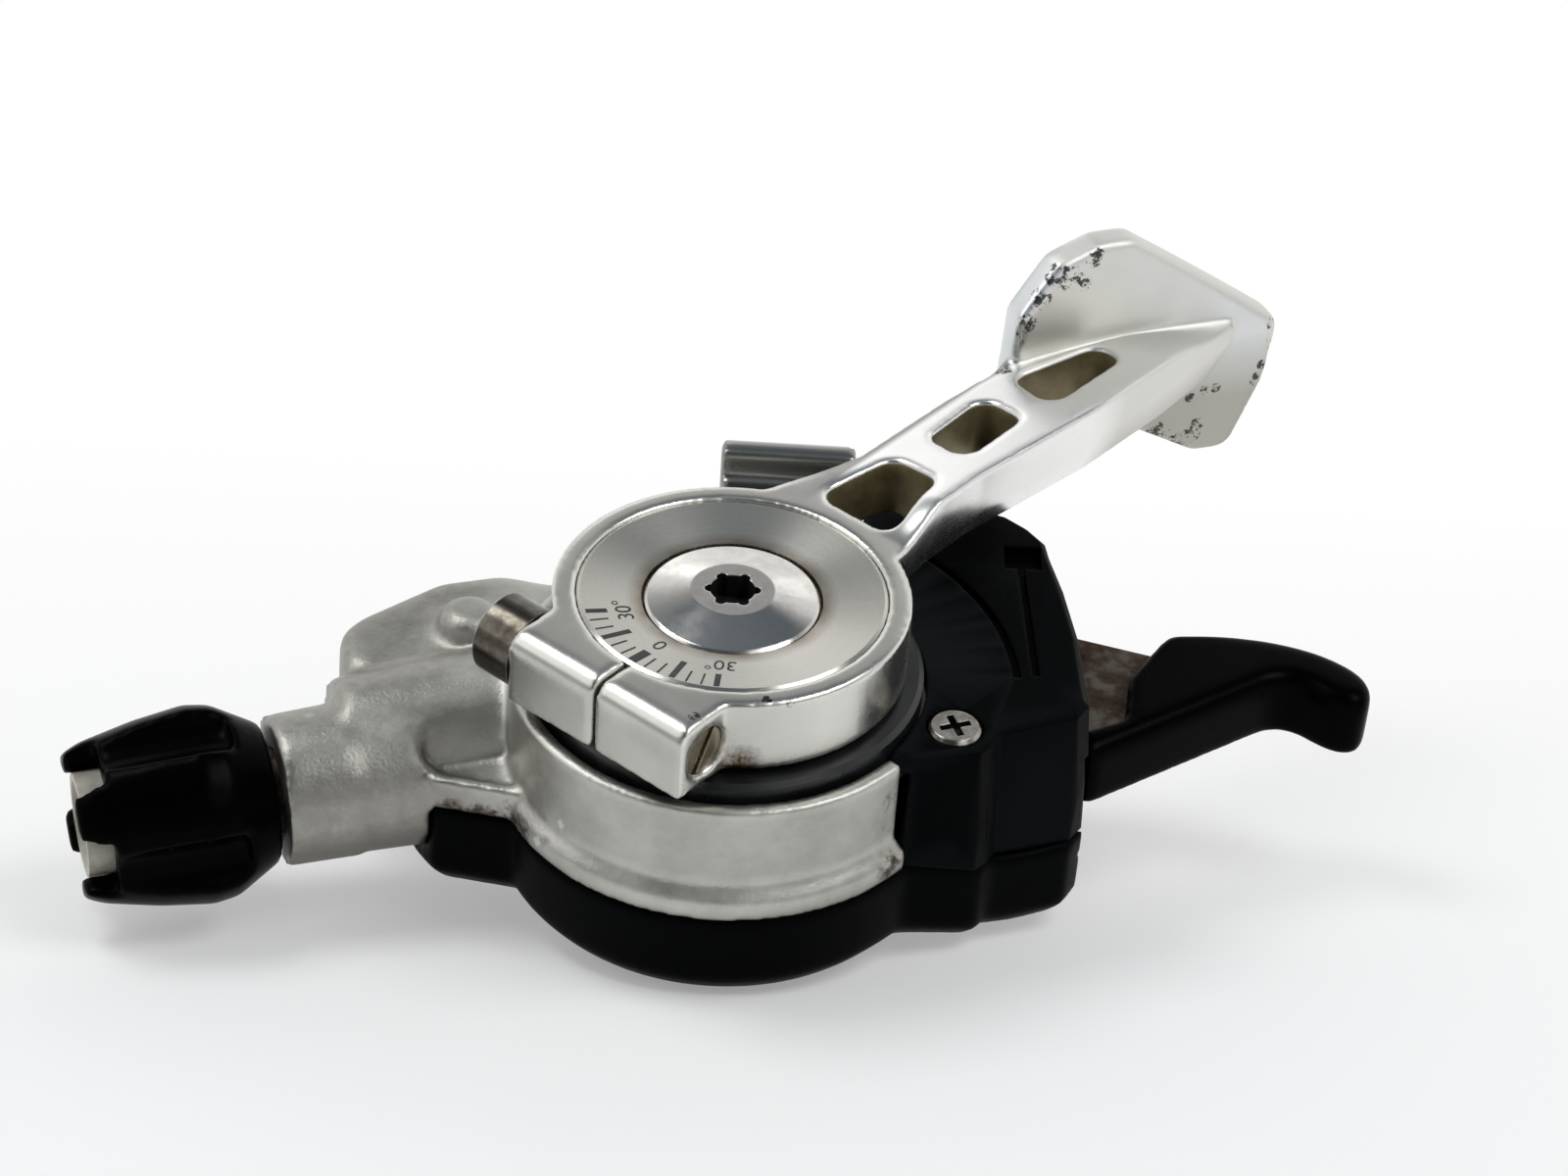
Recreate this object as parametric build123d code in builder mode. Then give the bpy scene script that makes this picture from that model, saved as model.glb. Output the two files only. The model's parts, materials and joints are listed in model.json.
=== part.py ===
"""Right-hand trigger gear shifter for a 22.2 mm handlebar, lying on its lid.

The lever shaft is the Z axis, the flat face of the lid is z = 0, +X points to the
release lever and +Y to the handlebar. All sizes are in millimetres.
"""
import os
from math import cos, radians, sin

from build123d import *

# Levels along the shaft
LID_TOP = 8.6
LID_FLOOR = 1.8
FLANGE_TOP = 11.4
SHOULDER_TOP = 14.0
DECK_LOW = 15.6
DECK_TOP = 17.4
WALL_TOP = 19.0
DISC_TOP = 20.2
RING_LOW = 20.6
RING_TOP = 27.2

# Radii about the shaft
WALL_R = 17.7
WALL_IN = 16.3
FLANGE_R = 18.9
LID_R = 18.7
SKIN = 1.6
DIAL_R = 12.5
LEVER_RING_R = 14.46
SHAFT_R = 4.0
RUN_FIT = 0.04

# Thumb lever
LEVER_ANGLE = 51.5
LUG_FRONT = 16.6
LUG_HALF = 9.0
PINCH_U = -13.3
PINCH_Z = 23.7
PADDLE_ANGLE = 24.0

# Cable line
CABLE_Z = 8.0
CABLE_ANGLE = 20.24
CABLE_REACH = 7.6
KNOB_TIP = 52.6
KNOB_REAR = 36.4
KNOB_TURN = 45.0
BOSS_STEP = 30.0
BOSS_END = 24.6
COLLAR_R = 6.25
RIDGE_R = 6.2
RIDGE_UP = 0.9
RIDGE_BACK = 2.3

# Handlebar clamp
BAR_R = 11.1
BAND_R = 14.3
BAR_Y = 33.5
BAR_Z = 1.1
BAND_X = 4.25
BAND_W = 11.9
PAD_Y = 18.2
EAR_ANGLE = 25.0
EAR_HALF = 5.5
EAR_END = 6.6
EAR_BOLT = 2.8

# Release lever and pawls
RELEASE_PIN = (20.0, 14.0)
HOLD_PIN = (16.6, 3.4)
DRIVE_ANGLE = 215.0
CORE_LOW = 8.9
LID_POST = (25.0, 0.0)
CORE_T = 1.8

os.makedirs("parts", exist_ok=True)


def level(z):
    return Plane.XY.offset(z)


def lever_level(z):
    side = (cos(radians(LEVER_ANGLE)), sin(radians(LEVER_ANGLE)), 0)
    return Plane(origin=(0, 0, z), x_dir=side, z_dir=(0, 0, 1))


def lever_end(n):
    base = lever_level(0)
    return Plane(origin=base.from_local_coords((0, -n, 0)), x_dir=base.x_dir, z_dir=-base.y_dir)


def drive_level(z):
    side = (cos(radians(DRIVE_ANGLE)), sin(radians(DRIVE_ANGLE)), 0)
    return Plane(origin=(0, 0, z), x_dir=side, z_dir=(0, 0, 1))


def spiral_points(x, y, r, pitch, turns):
    steps = [12 * k for k in range(int(30 * turns) + 1)]
    rays = [(r + pitch * a / 360, radians(a)) for a in steps]
    return [(x + reach * cos(turn), y + reach * sin(turn)) for reach, turn in rays]


def cable_plane(t):
    way = (cos(radians(CABLE_ANGLE)), sin(radians(CABLE_ANGLE)))
    x = -CABLE_REACH * way[1] - t * way[0]
    y = CABLE_REACH * way[0] - t * way[1]
    return Plane(origin=(x, y, CABLE_Z), x_dir=(0, 0, 1), z_dir=(way[0], way[1], 0))


def clamp_side(x):
    return Plane(origin=(x, BAR_Y, BAR_Z), x_dir=(0, 1, 0), z_dir=(1, 0, 0))


def ear_side(x):
    way = (cos(radians(EAR_ANGLE)), sin(radians(EAR_ANGLE)))
    return Plane(origin=(x, BAR_Y, BAR_Z), x_dir=(0, way[0], -way[1]), z_dir=(1, 0, 0))


def ear_up(h):
    base = ear_side(BAND_X)
    spot = base.from_local_coords((BAND_R + EAR_BOLT, h, 0))
    return Plane(origin=spot, x_dir=(1, 0, 0), z_dir=base.y_dir)


LEFT_LOBE = [(-12, -9), (-17.4, -8.2), (-23.4, -7.2), (-26.2, -3.6), (-26.2, 5.4), (-32.4, 5.4),
             (-33.0, 9.4), (-31.6, 11.4), (-25.4, 16.9), (-20.0, 18.6), (-12, 17)]
SHOULDER = [(-12, 0), (-26.2, 1.0), (-32.4, 4.6), (-32.9, 9.4), (-31.6, 11.4), (-25.4, 16.9),
            (-20.0, 18.6), (-12, 17)]
FLANGE = [(-12, -9), (-17.4, -8.2), (-23.4, -7.2), (-26.2, -3.6), (-27.0, 2.0), (-12, 4)]
SHELF = [(-12, -7.6), (-17.2, -7.1), (-22.9, -6.1), (-25.1, -3.2), (-25.8, 2.0), (-12, 4)]
SIDE_TOP = [(12.6, -9.2), (14.9, -9.7), (20.4, -8.2), (21.2, -7.2), (22.0, -5.6), (28.4, -2.95),
            (29.4, -1.4), (29.2, 0.7), (28.9, 7.1), (27.9, 13.8), (26.9, 18.4), (26.6, 20.4),
            (25.2, 22.4), (23.5, 23.9), (21.4, 24.7), (19.4, 24.2), (11.4, 21.8), (8.4, 13.6)]
LID_RIGHT = [(0.53 * LID_R, -0.75 * LID_R), (15.4, -10.8), (21.6, -8.6), (22.5, -7.1),
             (29.1, -4.2), (30.3, -2.0), (30.2, 1.0), (29.9, 7.4), (28.9, 14.2), (27.9, 18.6),
             (27.3, 20.4), (25.0, 21.6), (17.0, 21.0), (0.53 * LID_R, 0.8 * LID_R)]
DECK_RIGHT = [(10, -11.5), (14.4, -8.2), (19.6, -6.9), (21.0, -4.0), (27.3, -1.3), (27.0, 7.0),
              (26.0, 13.5), (24.9, 18.6), (23.0, 20.4), (19.0, 20.4), (9, 13)]

# Ridge that carries the cable boss into the round wall
with BuildPart() as cable_ridge:
    with BuildSketch(cable_plane(BOSS_STEP)):
        with Locations((RIDGE_UP, -RIDGE_BACK)):
            Circle(RIDGE_R)
    extrude(amount=BOSS_STEP - 8, taper=-2.5)
    with BuildSketch(level(LID_TOP)):
        Rectangle(100, 60)
    extrude(amount=-20, mode=Mode.SUBTRACT)

# Cast housing: round wall, shoulder, cable boss, deck and rear pad
with BuildPart() as main_housing:
    with BuildSketch(level(LID_TOP)):
        Circle(FLANGE_R)
    extrude(amount=FLANGE_TOP - LID_TOP)
    chamfer(main_housing.edges().filter_by(GeomType.CIRCLE).filter_by(
        lambda e: abs(e.center().Z - FLANGE_TOP) < 0.01), length=1.0)
    with BuildSketch(level(LID_TOP)):
        Circle(WALL_R)
    extrude(amount=WALL_TOP - LID_TOP)
    with BuildSketch(level(LID_TOP)) as shoulder_face:
        with BuildLine():
            Polyline(*SHOULDER, close=True)
        make_face()
        fillet(shoulder_face.vertices().filter_by(lambda v: v.X < -15), radius=1.6)
    extrude(amount=SHOULDER_TOP - LID_TOP)
    fillet(main_housing.edges().filter_by(
        lambda e: abs(e.center().Z - SHOULDER_TOP) < 0.01 and e.center().X < -20), radius=1.6)
    with BuildSketch(level(LID_TOP)) as flange_face:
        with BuildLine():
            Polyline(*FLANGE, close=True)
        make_face()
        fillet(flange_face.vertices().filter_by(lambda v: v.X < -17 and v.Y < -3), radius=1.0)
    extrude(amount=2.4)
    with BuildSketch(level(LID_TOP)):
        with BuildLine():
            Polyline(*FLANGE, close=True)
        make_face()
        with BuildLine():
            Polyline(*SHELF, close=True)
        make_face(mode=Mode.SUBTRACT)
    extrude(amount=3.1)
    with BuildSketch(level(LID_TOP)):
        with Locations((-22.0, 10.0)):
            Circle(2.7)
    extrude(amount=7.6)
    fillet(main_housing.edges().filter_by(
        lambda e: abs(e.center().Z - LID_TOP - 7.6) < 0.01 and e.center().X < -20), radius=1.4)
    add(cable_ridge.part)
    with BuildSketch(level(9.0)):
        with Locations((BAND_X, PAD_Y - 4)):
            Rectangle(BAND_W, 8)
    extrude(amount=DECK_TOP - 9.0)
    with BuildSketch(cable_plane(KNOB_REAR - 0.35)):
        Circle(COLLAR_R)
    extrude(amount=KNOB_REAR - 0.35 - BOSS_STEP, taper=-1.5)
    with BuildSketch(cable_plane(BOSS_STEP)):
        Circle(RIDGE_R)
    extrude(amount=BOSS_STEP - BOSS_END, taper=-2.5)
    with BuildSketch(level(LID_TOP)):
        Circle(WALL_IN)
    extrude(amount=WALL_TOP - LID_TOP, mode=Mode.SUBTRACT)
    with BuildSketch(level(LID_TOP)):
        with BuildLine():
            Polyline((4, -3), (24.2, -18.05), (40, 10), (30, 36), (16.6, 24.6), (4, 5.9), close=True)
        make_face()
    extrude(amount=WALL_TOP - LID_TOP, mode=Mode.SUBTRACT)
    with BuildSketch(level(9.0)):
        with Locations((BAND_X, PAD_Y - 2)):
            Rectangle(8.4, 4)
    extrude(amount=DECK_TOP - 9.0)
    with BuildSketch(level(DECK_LOW)):
        Circle(WALL_IN + 0.4)
        with BuildLine():
            Polyline(*DECK_RIGHT, close=True)
        make_face()
    extrude(amount=DECK_TOP - DECK_LOW)
    with BuildSketch(level(LID_TOP)):
        with Locations(LID_POST):
            Circle(1.9)
    extrude(amount=DECK_LOW - LID_TOP)
    with BuildSketch(level(LID_TOP)):
        with Locations((BAND_X, PAD_Y + 2)):
            Rectangle(BAND_W + 0.6, 4)
    extrude(amount=4, mode=Mode.SUBTRACT)
    with BuildSketch(cable_plane(BOSS_END)):
        Circle(3.9)
    extrude(amount=3.4)
    with BuildSketch(level(DECK_TOP)):
        Circle(WALL_IN)
    extrude(amount=4, mode=Mode.SUBTRACT)
    with BuildSketch(level(DECK_LOW - 1)):
        Circle(5.2)
        with Locations(RELEASE_PIN):
            Circle(1.75)
        with Locations(HOLD_PIN):
            Circle(1.5)
        with Locations((18.4, -5.6)):
            Circle(1.25)
    extrude(amount=4, mode=Mode.SUBTRACT)
    with BuildSketch(cable_plane(KNOB_REAR + 1)):
        Circle(3.6)
    extrude(amount=9.6, mode=Mode.SUBTRACT)
    with BuildSketch(cable_plane(KNOB_REAR)):
        Circle(1.4)
    extrude(amount=23, mode=Mode.SUBTRACT)
    with BuildSketch(Plane(origin=(BAND_X, 12, 12.8), x_dir=(1, 0, 0), z_dir=(0, 1, 0))):
        Circle(2.0)
    extrude(amount=10, mode=Mode.SUBTRACT)
    with BuildSketch(level(LID_TOP)):
        with Locations((-22.0, 10.0), LID_POST):
            Circle(1.2)
    extrude(amount=5, mode=Mode.SUBTRACT)
main_housing.part.label = "main_housing"
export_step(main_housing.part, "parts/main_housing.step")

# Moulded lid with a bearing socket, screw posts and the lower half of the lever slot
with BuildPart() as lid:
    with BuildSketch(Plane.XY):
        Circle(LID_R)
        with BuildLine():
            Polyline(*LEFT_LOBE, close=True)
        make_face()
        with BuildLine():
            Polyline(*LID_RIGHT, close=True)
        make_face()
    extrude(amount=LID_TOP)
    chamfer(lid.edges().group_by(Axis.Z)[0], length=2.0, length2=1.5)
    with BuildSketch(level(LID_FLOOR)):
        Circle(LID_R - SKIN)
        with BuildLine():
            Polyline((-10, -6), (-22.6, -5.4), (-24.4, -3.0), (-24.4, 7.2), (-30.6, 7.2), (-31.0, 9.4),
                     (-24.6, 15.0), (-19.6, 16.8), (-10, 12), close=True)
        make_face()
        with BuildLine():
            Polyline((8, -11), (15.6, -8.9), (20.7, -6.7), (27.7, -3.2), (28.4, -1.8), (28.2, 7.0),
                     (27.2, 13.8), (26.0, 19.6), (17.8, 19.2), (8, 12), close=True)
        make_face()
    extrude(amount=LID_TOP - LID_FLOOR, mode=Mode.SUBTRACT)
    with BuildSketch(level(LID_FLOOR)):
        Circle(4.4)
    extrude(amount=1.4)
    with BuildSketch(level(LID_FLOOR)):
        with Locations((-22.0, 10.0), LID_POST):
            Circle(1.9)
    extrude(amount=LID_TOP - LID_FLOOR)
    with BuildSketch(level(1.0)):
        Circle(2.6 + RUN_FIT)
    extrude(amount=4, mode=Mode.SUBTRACT)
    with BuildSketch(Plane.XY):
        with Locations((-22.0, 10.0), LID_POST):
            Circle(1.25)
    extrude(amount=LID_TOP, mode=Mode.SUBTRACT)
    with BuildSketch(Plane.XY):
        with Locations((-22.0, 10.0), LID_POST):
            Circle(2.3)
    extrude(amount=1.2, mode=Mode.SUBTRACT)
    with BuildSketch(cable_plane(BOSS_STEP + 8)):
        Circle(6.75)
    extrude(amount=8 + BOSS_STEP - BOSS_END + 0.15, mode=Mode.SUBTRACT)
    with BuildSketch(cable_plane(BOSS_END + 0.5)):
        Circle(4.1)
    extrude(amount=6, mode=Mode.SUBTRACT)
    with BuildSketch(level(5.4)):
        with Locations((30, 9.4)):
            Rectangle(12, 22.8)
    extrude(amount=LID_TOP, mode=Mode.SUBTRACT)
lid.part.label = "lid"
export_step(lid.part, "parts/lid.step")

# Moulded side housing with the stepped top and the upper half of the lever slot
with BuildPart() as side_housing:
    with BuildSketch(level(WALL_TOP)) as side_face:
        with BuildLine():
            Polyline(*SIDE_TOP, close=True)
        make_face()
    extrude(amount=WALL_TOP - LID_TOP - 0.05, dir=(0, 0, -1), taper=-5)
    chamfer(side_housing.edges().group_by(Axis.Z)[-1], length=0.5)
    with BuildSketch(level(LID_TOP)):
        with BuildLine():
            Polyline((4, -3), (15.2, -8.9), (20.2, -7.0), (21.6, -4.3), (27.6, -1.8), (28.0, 0.4),
                     (27.5, 7.0), (26.5, 13.6), (25.4, 19.0), (23.6, 20.8), (19.4, 20.8), (14.6, 18.6),
                     (4, 8), close=True)
        make_face()
    extrude(amount=DECK_TOP + 0.05 - LID_TOP, mode=Mode.SUBTRACT)
    with BuildSketch(level(LID_TOP - 1)):
        Circle(WALL_R + 0.15)
    extrude(amount=DECK_TOP - LID_TOP + 1.05, mode=Mode.SUBTRACT)
    with BuildSketch(level(DECK_TOP)):
        Circle(16.2)
    extrude(amount=4, mode=Mode.SUBTRACT)
    with BuildSketch(level(LID_TOP - 1)):
        with BuildLine():
            Polyline((0, 0), (18.12, -13.35), (10, -20), (-6, -6), close=True)
        make_face()
    extrude(amount=14, mode=Mode.SUBTRACT)
    with BuildSketch(level(LID_TOP - 1)):
        with BuildLine():
            Polyline((0, 0), (10.8, 14.9), (10.8, 30), (-6, 30), (-6, 6), close=True)
        make_face()
    extrude(amount=14, mode=Mode.SUBTRACT)
    with BuildSketch(clamp_side(5)):
        Circle(BAR_R + 1.0)
    extrude(amount=30, mode=Mode.SUBTRACT)
    with BuildSketch(level(LID_TOP - 1)):
        with Locations((30, 9.4)):
            Rectangle(12, 22.8)
    extrude(amount=5.9, mode=Mode.SUBTRACT)
    with BuildSketch(level(WALL_TOP)) as groove_face:
        with BuildLine():
            groove_in = CenterArc((0, 0), 23.3, 3, 50)
            groove_out = CenterArc((0, 0), 24.0, 3, 50)
            Line(groove_in @ 0, groove_out @ 0)
            Line(groove_in @ 1, groove_out @ 1)
        make_face()
        with BuildLine():
            Polyline((24.9, 1.6), (25.5, 1.6), (24.7, 16.4), (24.1, 16.4), close=True)
        make_face()
    extrude(amount=-0.6, mode=Mode.SUBTRACT)
    with BuildSketch(level(WALL_TOP)):
        with Locations((24.6, 17.7)):
            Rectangle(3.2, 3.2)
    extrude(amount=-1.0, mode=Mode.SUBTRACT)
    with BuildSketch(level(WALL_TOP)):
        with Locations((18.4, -5.6)):
            Circle(2.35)
    extrude(amount=-0.7, mode=Mode.SUBTRACT)
    with BuildSketch(level(WALL_TOP)):
        with Locations((18.4, -5.6)):
            Circle(1.3)
    extrude(amount=-3, mode=Mode.SUBTRACT)
side_housing.part.label = "side_housing"
export_step(side_housing.part, "parts/side_housing.step")

# Cross-head screw of the side housing
with BuildPart() as cover_screw:
    with BuildSketch(level(WALL_TOP - 0.7)):
        with Locations((18.4, -5.6)):
            Circle(2.2)
    extrude(amount=0.9)
    chamfer(cover_screw.edges().group_by(Axis.Z)[-1], length=0.3)
    with BuildSketch(level(WALL_TOP - 0.7)):
        with Locations((18.4, -5.6)):
            Circle(1.23)
    extrude(amount=-2.4)
    with BuildSketch(level(WALL_TOP + 0.2)):
        with Locations(Location((18.4, -5.6), 20), Location((18.4, -5.6), 110)):
            Rectangle(2.6, 0.6)
    extrude(amount=-0.75, mode=Mode.SUBTRACT)
cover_screw.part.label = "cover_screw"
export_step(cover_screw.part, "parts/cover_screw.step")

# Two screws from below that hold the lid to the casting
with BuildPart() as lid_screws:
    with BuildSketch(level(0.1)):
        with Locations((-22.0, 10.0), LID_POST):
            Circle(2.2)
    extrude(amount=1.1)
    with BuildSketch(level(1.2)):
        with Locations((-22.0, 10.0), LID_POST):
            Circle(1.18)
    extrude(amount=11)
    with BuildSketch(level(0.1)):
        with Locations((-22.0, 10.0), LID_POST):
            Rectangle(2.6, 0.6)
            Rectangle(0.6, 2.6)
    extrude(amount=0.7, mode=Mode.SUBTRACT)
lid_screws.part.label = "lid_screws"
export_step(lid_screws.part, "parts/lid_screws.step")

# Split band for the handlebar, with its front foot, raised block and bolted ears
with BuildPart() as bar_clamp:
    with BuildSketch(clamp_side(BAND_X - BAND_W / 2)):
        Circle(BAND_R)
        with BuildLine():
            Polyline((PAD_Y + 0.02 - BAR_Y, 9.0 - BAR_Z), (PAD_Y + 0.02 - BAR_Y, DECK_TOP - BAR_Z),
                     (29.3 - BAR_Y, DECK_TOP - BAR_Z), (29.6 - BAR_Y, 19.8 - BAR_Z),
                     (31.3 - BAR_Y, 20.0 - BAR_Z), (3.5, BAND_R - 0.6), (0, 8), (-12, 5.0), close=True)
        make_face()
    extrude(amount=BAND_W)
    with BuildSketch(ear_side(BAND_X - BAND_W / 2)):
        with Locations((BAND_R + EAR_END - 5, 0)):
            Rectangle(10, 2 * EAR_HALF)
    extrude(amount=BAND_W)
    with BuildSketch(clamp_side(BAND_X - BAND_W / 2 - 1)):
        Circle(BAR_R)
    extrude(amount=BAND_W + 2, mode=Mode.SUBTRACT)
    with BuildSketch(ear_side(BAND_X - BAND_W / 2 - 1)):
        with Locations((BAND_R + 2, 0)):
            Rectangle(14, 1.2)
    extrude(amount=BAND_W + 2, mode=Mode.SUBTRACT)
    fillet(bar_clamp.edges().filter_by(Axis.X).filter_by(lambda e: e.center().Z > 19.5), radius=0.6)
    fillet(bar_clamp.edges().filter_by(
        lambda e: abs(e.tangent_at(0.5).dot(ear_side(0).y_dir)) > 0.99
        and ear_side(0).to_local_coords(e.center()).X > BAND_R + EAR_END - 0.1), radius=2.0)
    with BuildSketch(ear_up(-EAR_HALF - 1)):
        Circle(2.55)
    extrude(amount=2 * EAR_HALF + 2, mode=Mode.SUBTRACT)
    with BuildSketch(Plane(origin=(BAND_X, 16, 12.8), x_dir=(1, 0, 0), z_dir=(0, 1, 0))):
        Circle(2.05)
    extrude(amount=12, mode=Mode.SUBTRACT)
    with BuildSketch(Plane(origin=(BAND_X, 22.4, 12.8), x_dir=(1, 0, 0), z_dir=(0, 1, 0))):
        Circle(3.7)
    extrude(amount=8, mode=Mode.SUBTRACT)
bar_clamp.part.label = "bar_clamp"
export_step(bar_clamp.part, "parts/bar_clamp.step")

# Pinch bolt of the band
with BuildPart() as clamp_bolt:
    with BuildSketch(ear_up(EAR_HALF + 0.02)):
        Circle(3.7)
    extrude(amount=3.2)
    with BuildSketch(ear_up(EAR_HALF + 3.22)):
        RegularPolygon(2.2, 6)
    extrude(amount=-2.0, mode=Mode.SUBTRACT)
    with BuildSketch(ear_up(EAR_HALF + 0.02)):
        Circle(2.5)
    extrude(amount=-2 * EAR_HALF + 0.4)
clamp_bolt.part.label = "clamp_bolt"
export_step(clamp_bolt.part, "parts/clamp_bolt.step")

# Screw that holds the band on the rear pad
with BuildPart() as clamp_screw:
    with BuildSketch(Plane(origin=(BAND_X, 14.6, 12.8), x_dir=(1, 0, 0), z_dir=(0, 1, 0))):
        Circle(1.96)
    extrude(amount=7.82)
    with BuildSketch(Plane(origin=(BAND_X, 22.42, 12.8), x_dir=(1, 0, 0), z_dir=(0, 1, 0))):
        Circle(3.5)
    extrude(amount=2.0)
    with BuildSketch(Plane(origin=(BAND_X, 24.42, 12.8), x_dir=(1, 0, 0), z_dir=(0, 1, 0))):
        RegularPolygon(1.5, 6)
    extrude(amount=-1.4, mode=Mode.SUBTRACT)
clamp_screw.part.label = "clamp_screw"
export_step(clamp_screw.part, "parts/clamp_screw.step")

# Bearing bush of the deck
with BuildPart() as shaft_bush:
    with BuildSketch(level(DECK_LOW)):
        Circle(5.18)
        Circle(SHAFT_R + RUN_FIT, mode=Mode.SUBTRACT)
    extrude(amount=DECK_TOP - DECK_LOW)
shaft_bush.part.label = "shaft_bush"
export_step(shaft_bush.part, "parts/shaft_bush.step")

# Lever shaft, stepped, with the threaded hole for the hub bolt
with BuildPart() as lever_shaft:
    with BuildSketch(level(1.2)):
        Circle(2.6)
    extrude(amount=3.6)
    with BuildSketch(level(4.6)):
        Circle(SHAFT_R)
    extrude(amount=13.1)
    with BuildSketch(level(17.7)):
        Circle(3.6)
    extrude(amount=7.0)
    with BuildSketch(level(16.0)):
        Circle(2.5)
    extrude(amount=10, mode=Mode.SUBTRACT)
lever_shaft.part.label = "lever_shaft"
export_step(lever_shaft.part, "parts/lever_shaft.step")

# Dial hub: dished face, rim that the lever ring grips, groove for the pinch bolt and a collar
with BuildPart() as dial_hub:
    with BuildSketch(Plane.XZ):
        with BuildLine():
            Polyline((3.62, 17.75), (8.0, 17.75), (8.0, RING_LOW), (DIAL_R, RING_LOW), (DIAL_R, 21.3),
                     (11.1, 21.3), (11.1, 26.1), (DIAL_R, 26.1), (DIAL_R, 26.9), (12.2, 27.05), (7.3, 26.45),
                     (7.3, 25.0), (3.62, 25.0), close=True)
        make_face()
    revolve(axis=Axis.Z)
dial_hub.part.label = "dial_hub"
export_step(dial_hub.part, "parts/dial_hub.step")

# Hub bolt with a T25 six-lobe recess
with BuildPart() as hub_bolt:
    with BuildSketch(Plane.XZ):
        with BuildLine():
            Polyline((0, 17.2), (2.46, 17.2), (2.46, 25.02), (7.1, 25.02), (7.1, 26.3), (6.85, 26.5),
                     (3.4, 27.35), (0, 27.35), close=True)
        make_face()
    revolve(axis=Axis.Z)
    with BuildSketch(level(27.4)):
        Circle(1.84)
        with PolarLocations(1.8, 6):
            Circle(0.46)
    extrude(amount=-2.2, mode=Mode.SUBTRACT)
hub_bolt.part.label = "hub_bolt"
export_step(hub_bolt.part, "parts/hub_bolt.step")

# Black disc under the lever ring
with BuildPart() as drive_disc:
    with BuildSketch(level(DECK_TOP + 0.35)):
        Circle(15.9)
        Circle(8.02, mode=Mode.SUBTRACT)
    extrude(amount=DISC_TOP - DECK_TOP - 0.35)
    chamfer(drive_disc.edges().group_by(Axis.Z)[-1], length=0.4)
drive_disc.part.label = "drive_disc"
export_step(drive_disc.part, "parts/drive_disc.step")

# Carrier arm on the shaft, above the ratchet
with BuildPart() as drive_carrier:
    with BuildSketch(drive_level(13.7)):
        Circle(7.2)
        with Locations((7.0, 0)):
            Rectangle(13.2, 5.0)
        with Locations((13.6, 0)):
            Circle(2.5)
        Circle(SHAFT_R + 0.01, mode=Mode.SUBTRACT)
        with Locations((13.6, 0)):
            Circle(1.0, mode=Mode.SUBTRACT)
    extrude(amount=1.5)
drive_carrier.part.label = "drive_carrier"
export_step(drive_carrier.part, "parts/drive_carrier.step")

# Pin of the drive pawl
with BuildPart() as drive_pawl_pin:
    with BuildSketch(drive_level(10.2)):
        with Locations((13.6, 0)):
            Circle(0.98)
    extrude(amount=5.0)
drive_pawl_pin.part.label = "drive_pawl_pin"
export_step(drive_pawl_pin.part, "parts/drive_pawl_pin.step")

# Drive pawl, its nose in the tooth gap ahead of the pin
with BuildPart() as drive_pawl:
    with BuildSketch(drive_level(11.95)):
        with Locations((13.6, 0)):
            Circle(1.9)
        with BuildLine():
            Polyline((15.2, -0.8), (11.6, -6.4), (10.0, -5.6), (12.2, -1.0), close=True)
        make_face()
        with Locations((13.6, 0)):
            Circle(0.98 + RUN_FIT, mode=Mode.SUBTRACT)
    extrude(amount=1.4)
drive_pawl.part.label = "drive_pawl"
export_step(drive_pawl.part, "parts/drive_pawl.step")

# Flat spiral spring of the drive pawl
with BuildPart() as drive_spring:
    with BuildSketch(drive_level(10.4)):
        with BuildLine() as drive_coil:
            Polyline(*spiral_points(13.6, 0, 1.35, 0.5, 2))
            offset(amount=0.12, side=Side.BOTH)
        make_face()
    extrude(amount=1.4)
drive_spring.part.label = "drive_spring"
export_step(drive_spring.part, "parts/drive_spring.step")

# Cable spool with the groove at the cable line
with BuildPart() as cable_spool:
    with BuildSketch(Plane.XZ):
        with BuildLine():
            Polyline((SHAFT_R + RUN_FIT, 5.8), (9.2, 5.8), (9.2, 7.0), (CABLE_REACH - 0.6, 7.5),
                     (CABLE_REACH - 0.6, 8.5), (9.2, 9.0), (9.2, 11.8), (6.0, 11.8), (6.0, 13.4),
                     (SHAFT_R + RUN_FIT, 13.4), close=True)
        make_face()
    revolve(axis=Axis.Z)
    with BuildSketch(level(9.0)):
        with Locations(Rotation(0, 0, 60)):
            with Locations((7.6, 0)):
                Circle(1.0)
    extrude(amount=-3.3, mode=Mode.SUBTRACT)
cable_spool.part.label = "cable_spool"
export_step(cable_spool.part, "parts/cable_spool.step")

# Ratchet ring on the spool, sixteen teeth
with BuildSketch(level(11.85)) as ratchet_tooth:
    with BuildLine():
        Polyline((9.6, -1.9), (11.5, -0.3), (11.5, 0.2), (9.8, 0.6), close=True)
    make_face()
with BuildPart() as ratchet_ring:
    with BuildSketch(level(11.85)):
        Circle(10.2)
        with PolarLocations(0, 16):
            add(ratchet_tooth.sketch_local)
        Circle(6.03, mode=Mode.SUBTRACT)
    extrude(amount=1.5)
ratchet_ring.part.label = "ratchet_ring"
export_step(ratchet_ring.part, "parts/ratchet_ring.step")

# Flat spiral return spring below the spool
with BuildPart() as spool_spring:
    with BuildSketch(level(3.5)):
        with BuildLine():
            Polyline(*spiral_points(0, 0, 5.0, 1.4, 3))
            offset(amount=0.2, side=Side.BOTH)
        make_face()
    extrude(amount=1.9)
spool_spring.part.label = "spool_spring"
export_step(spool_spring.part, "parts/spool_spring.step")

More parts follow.
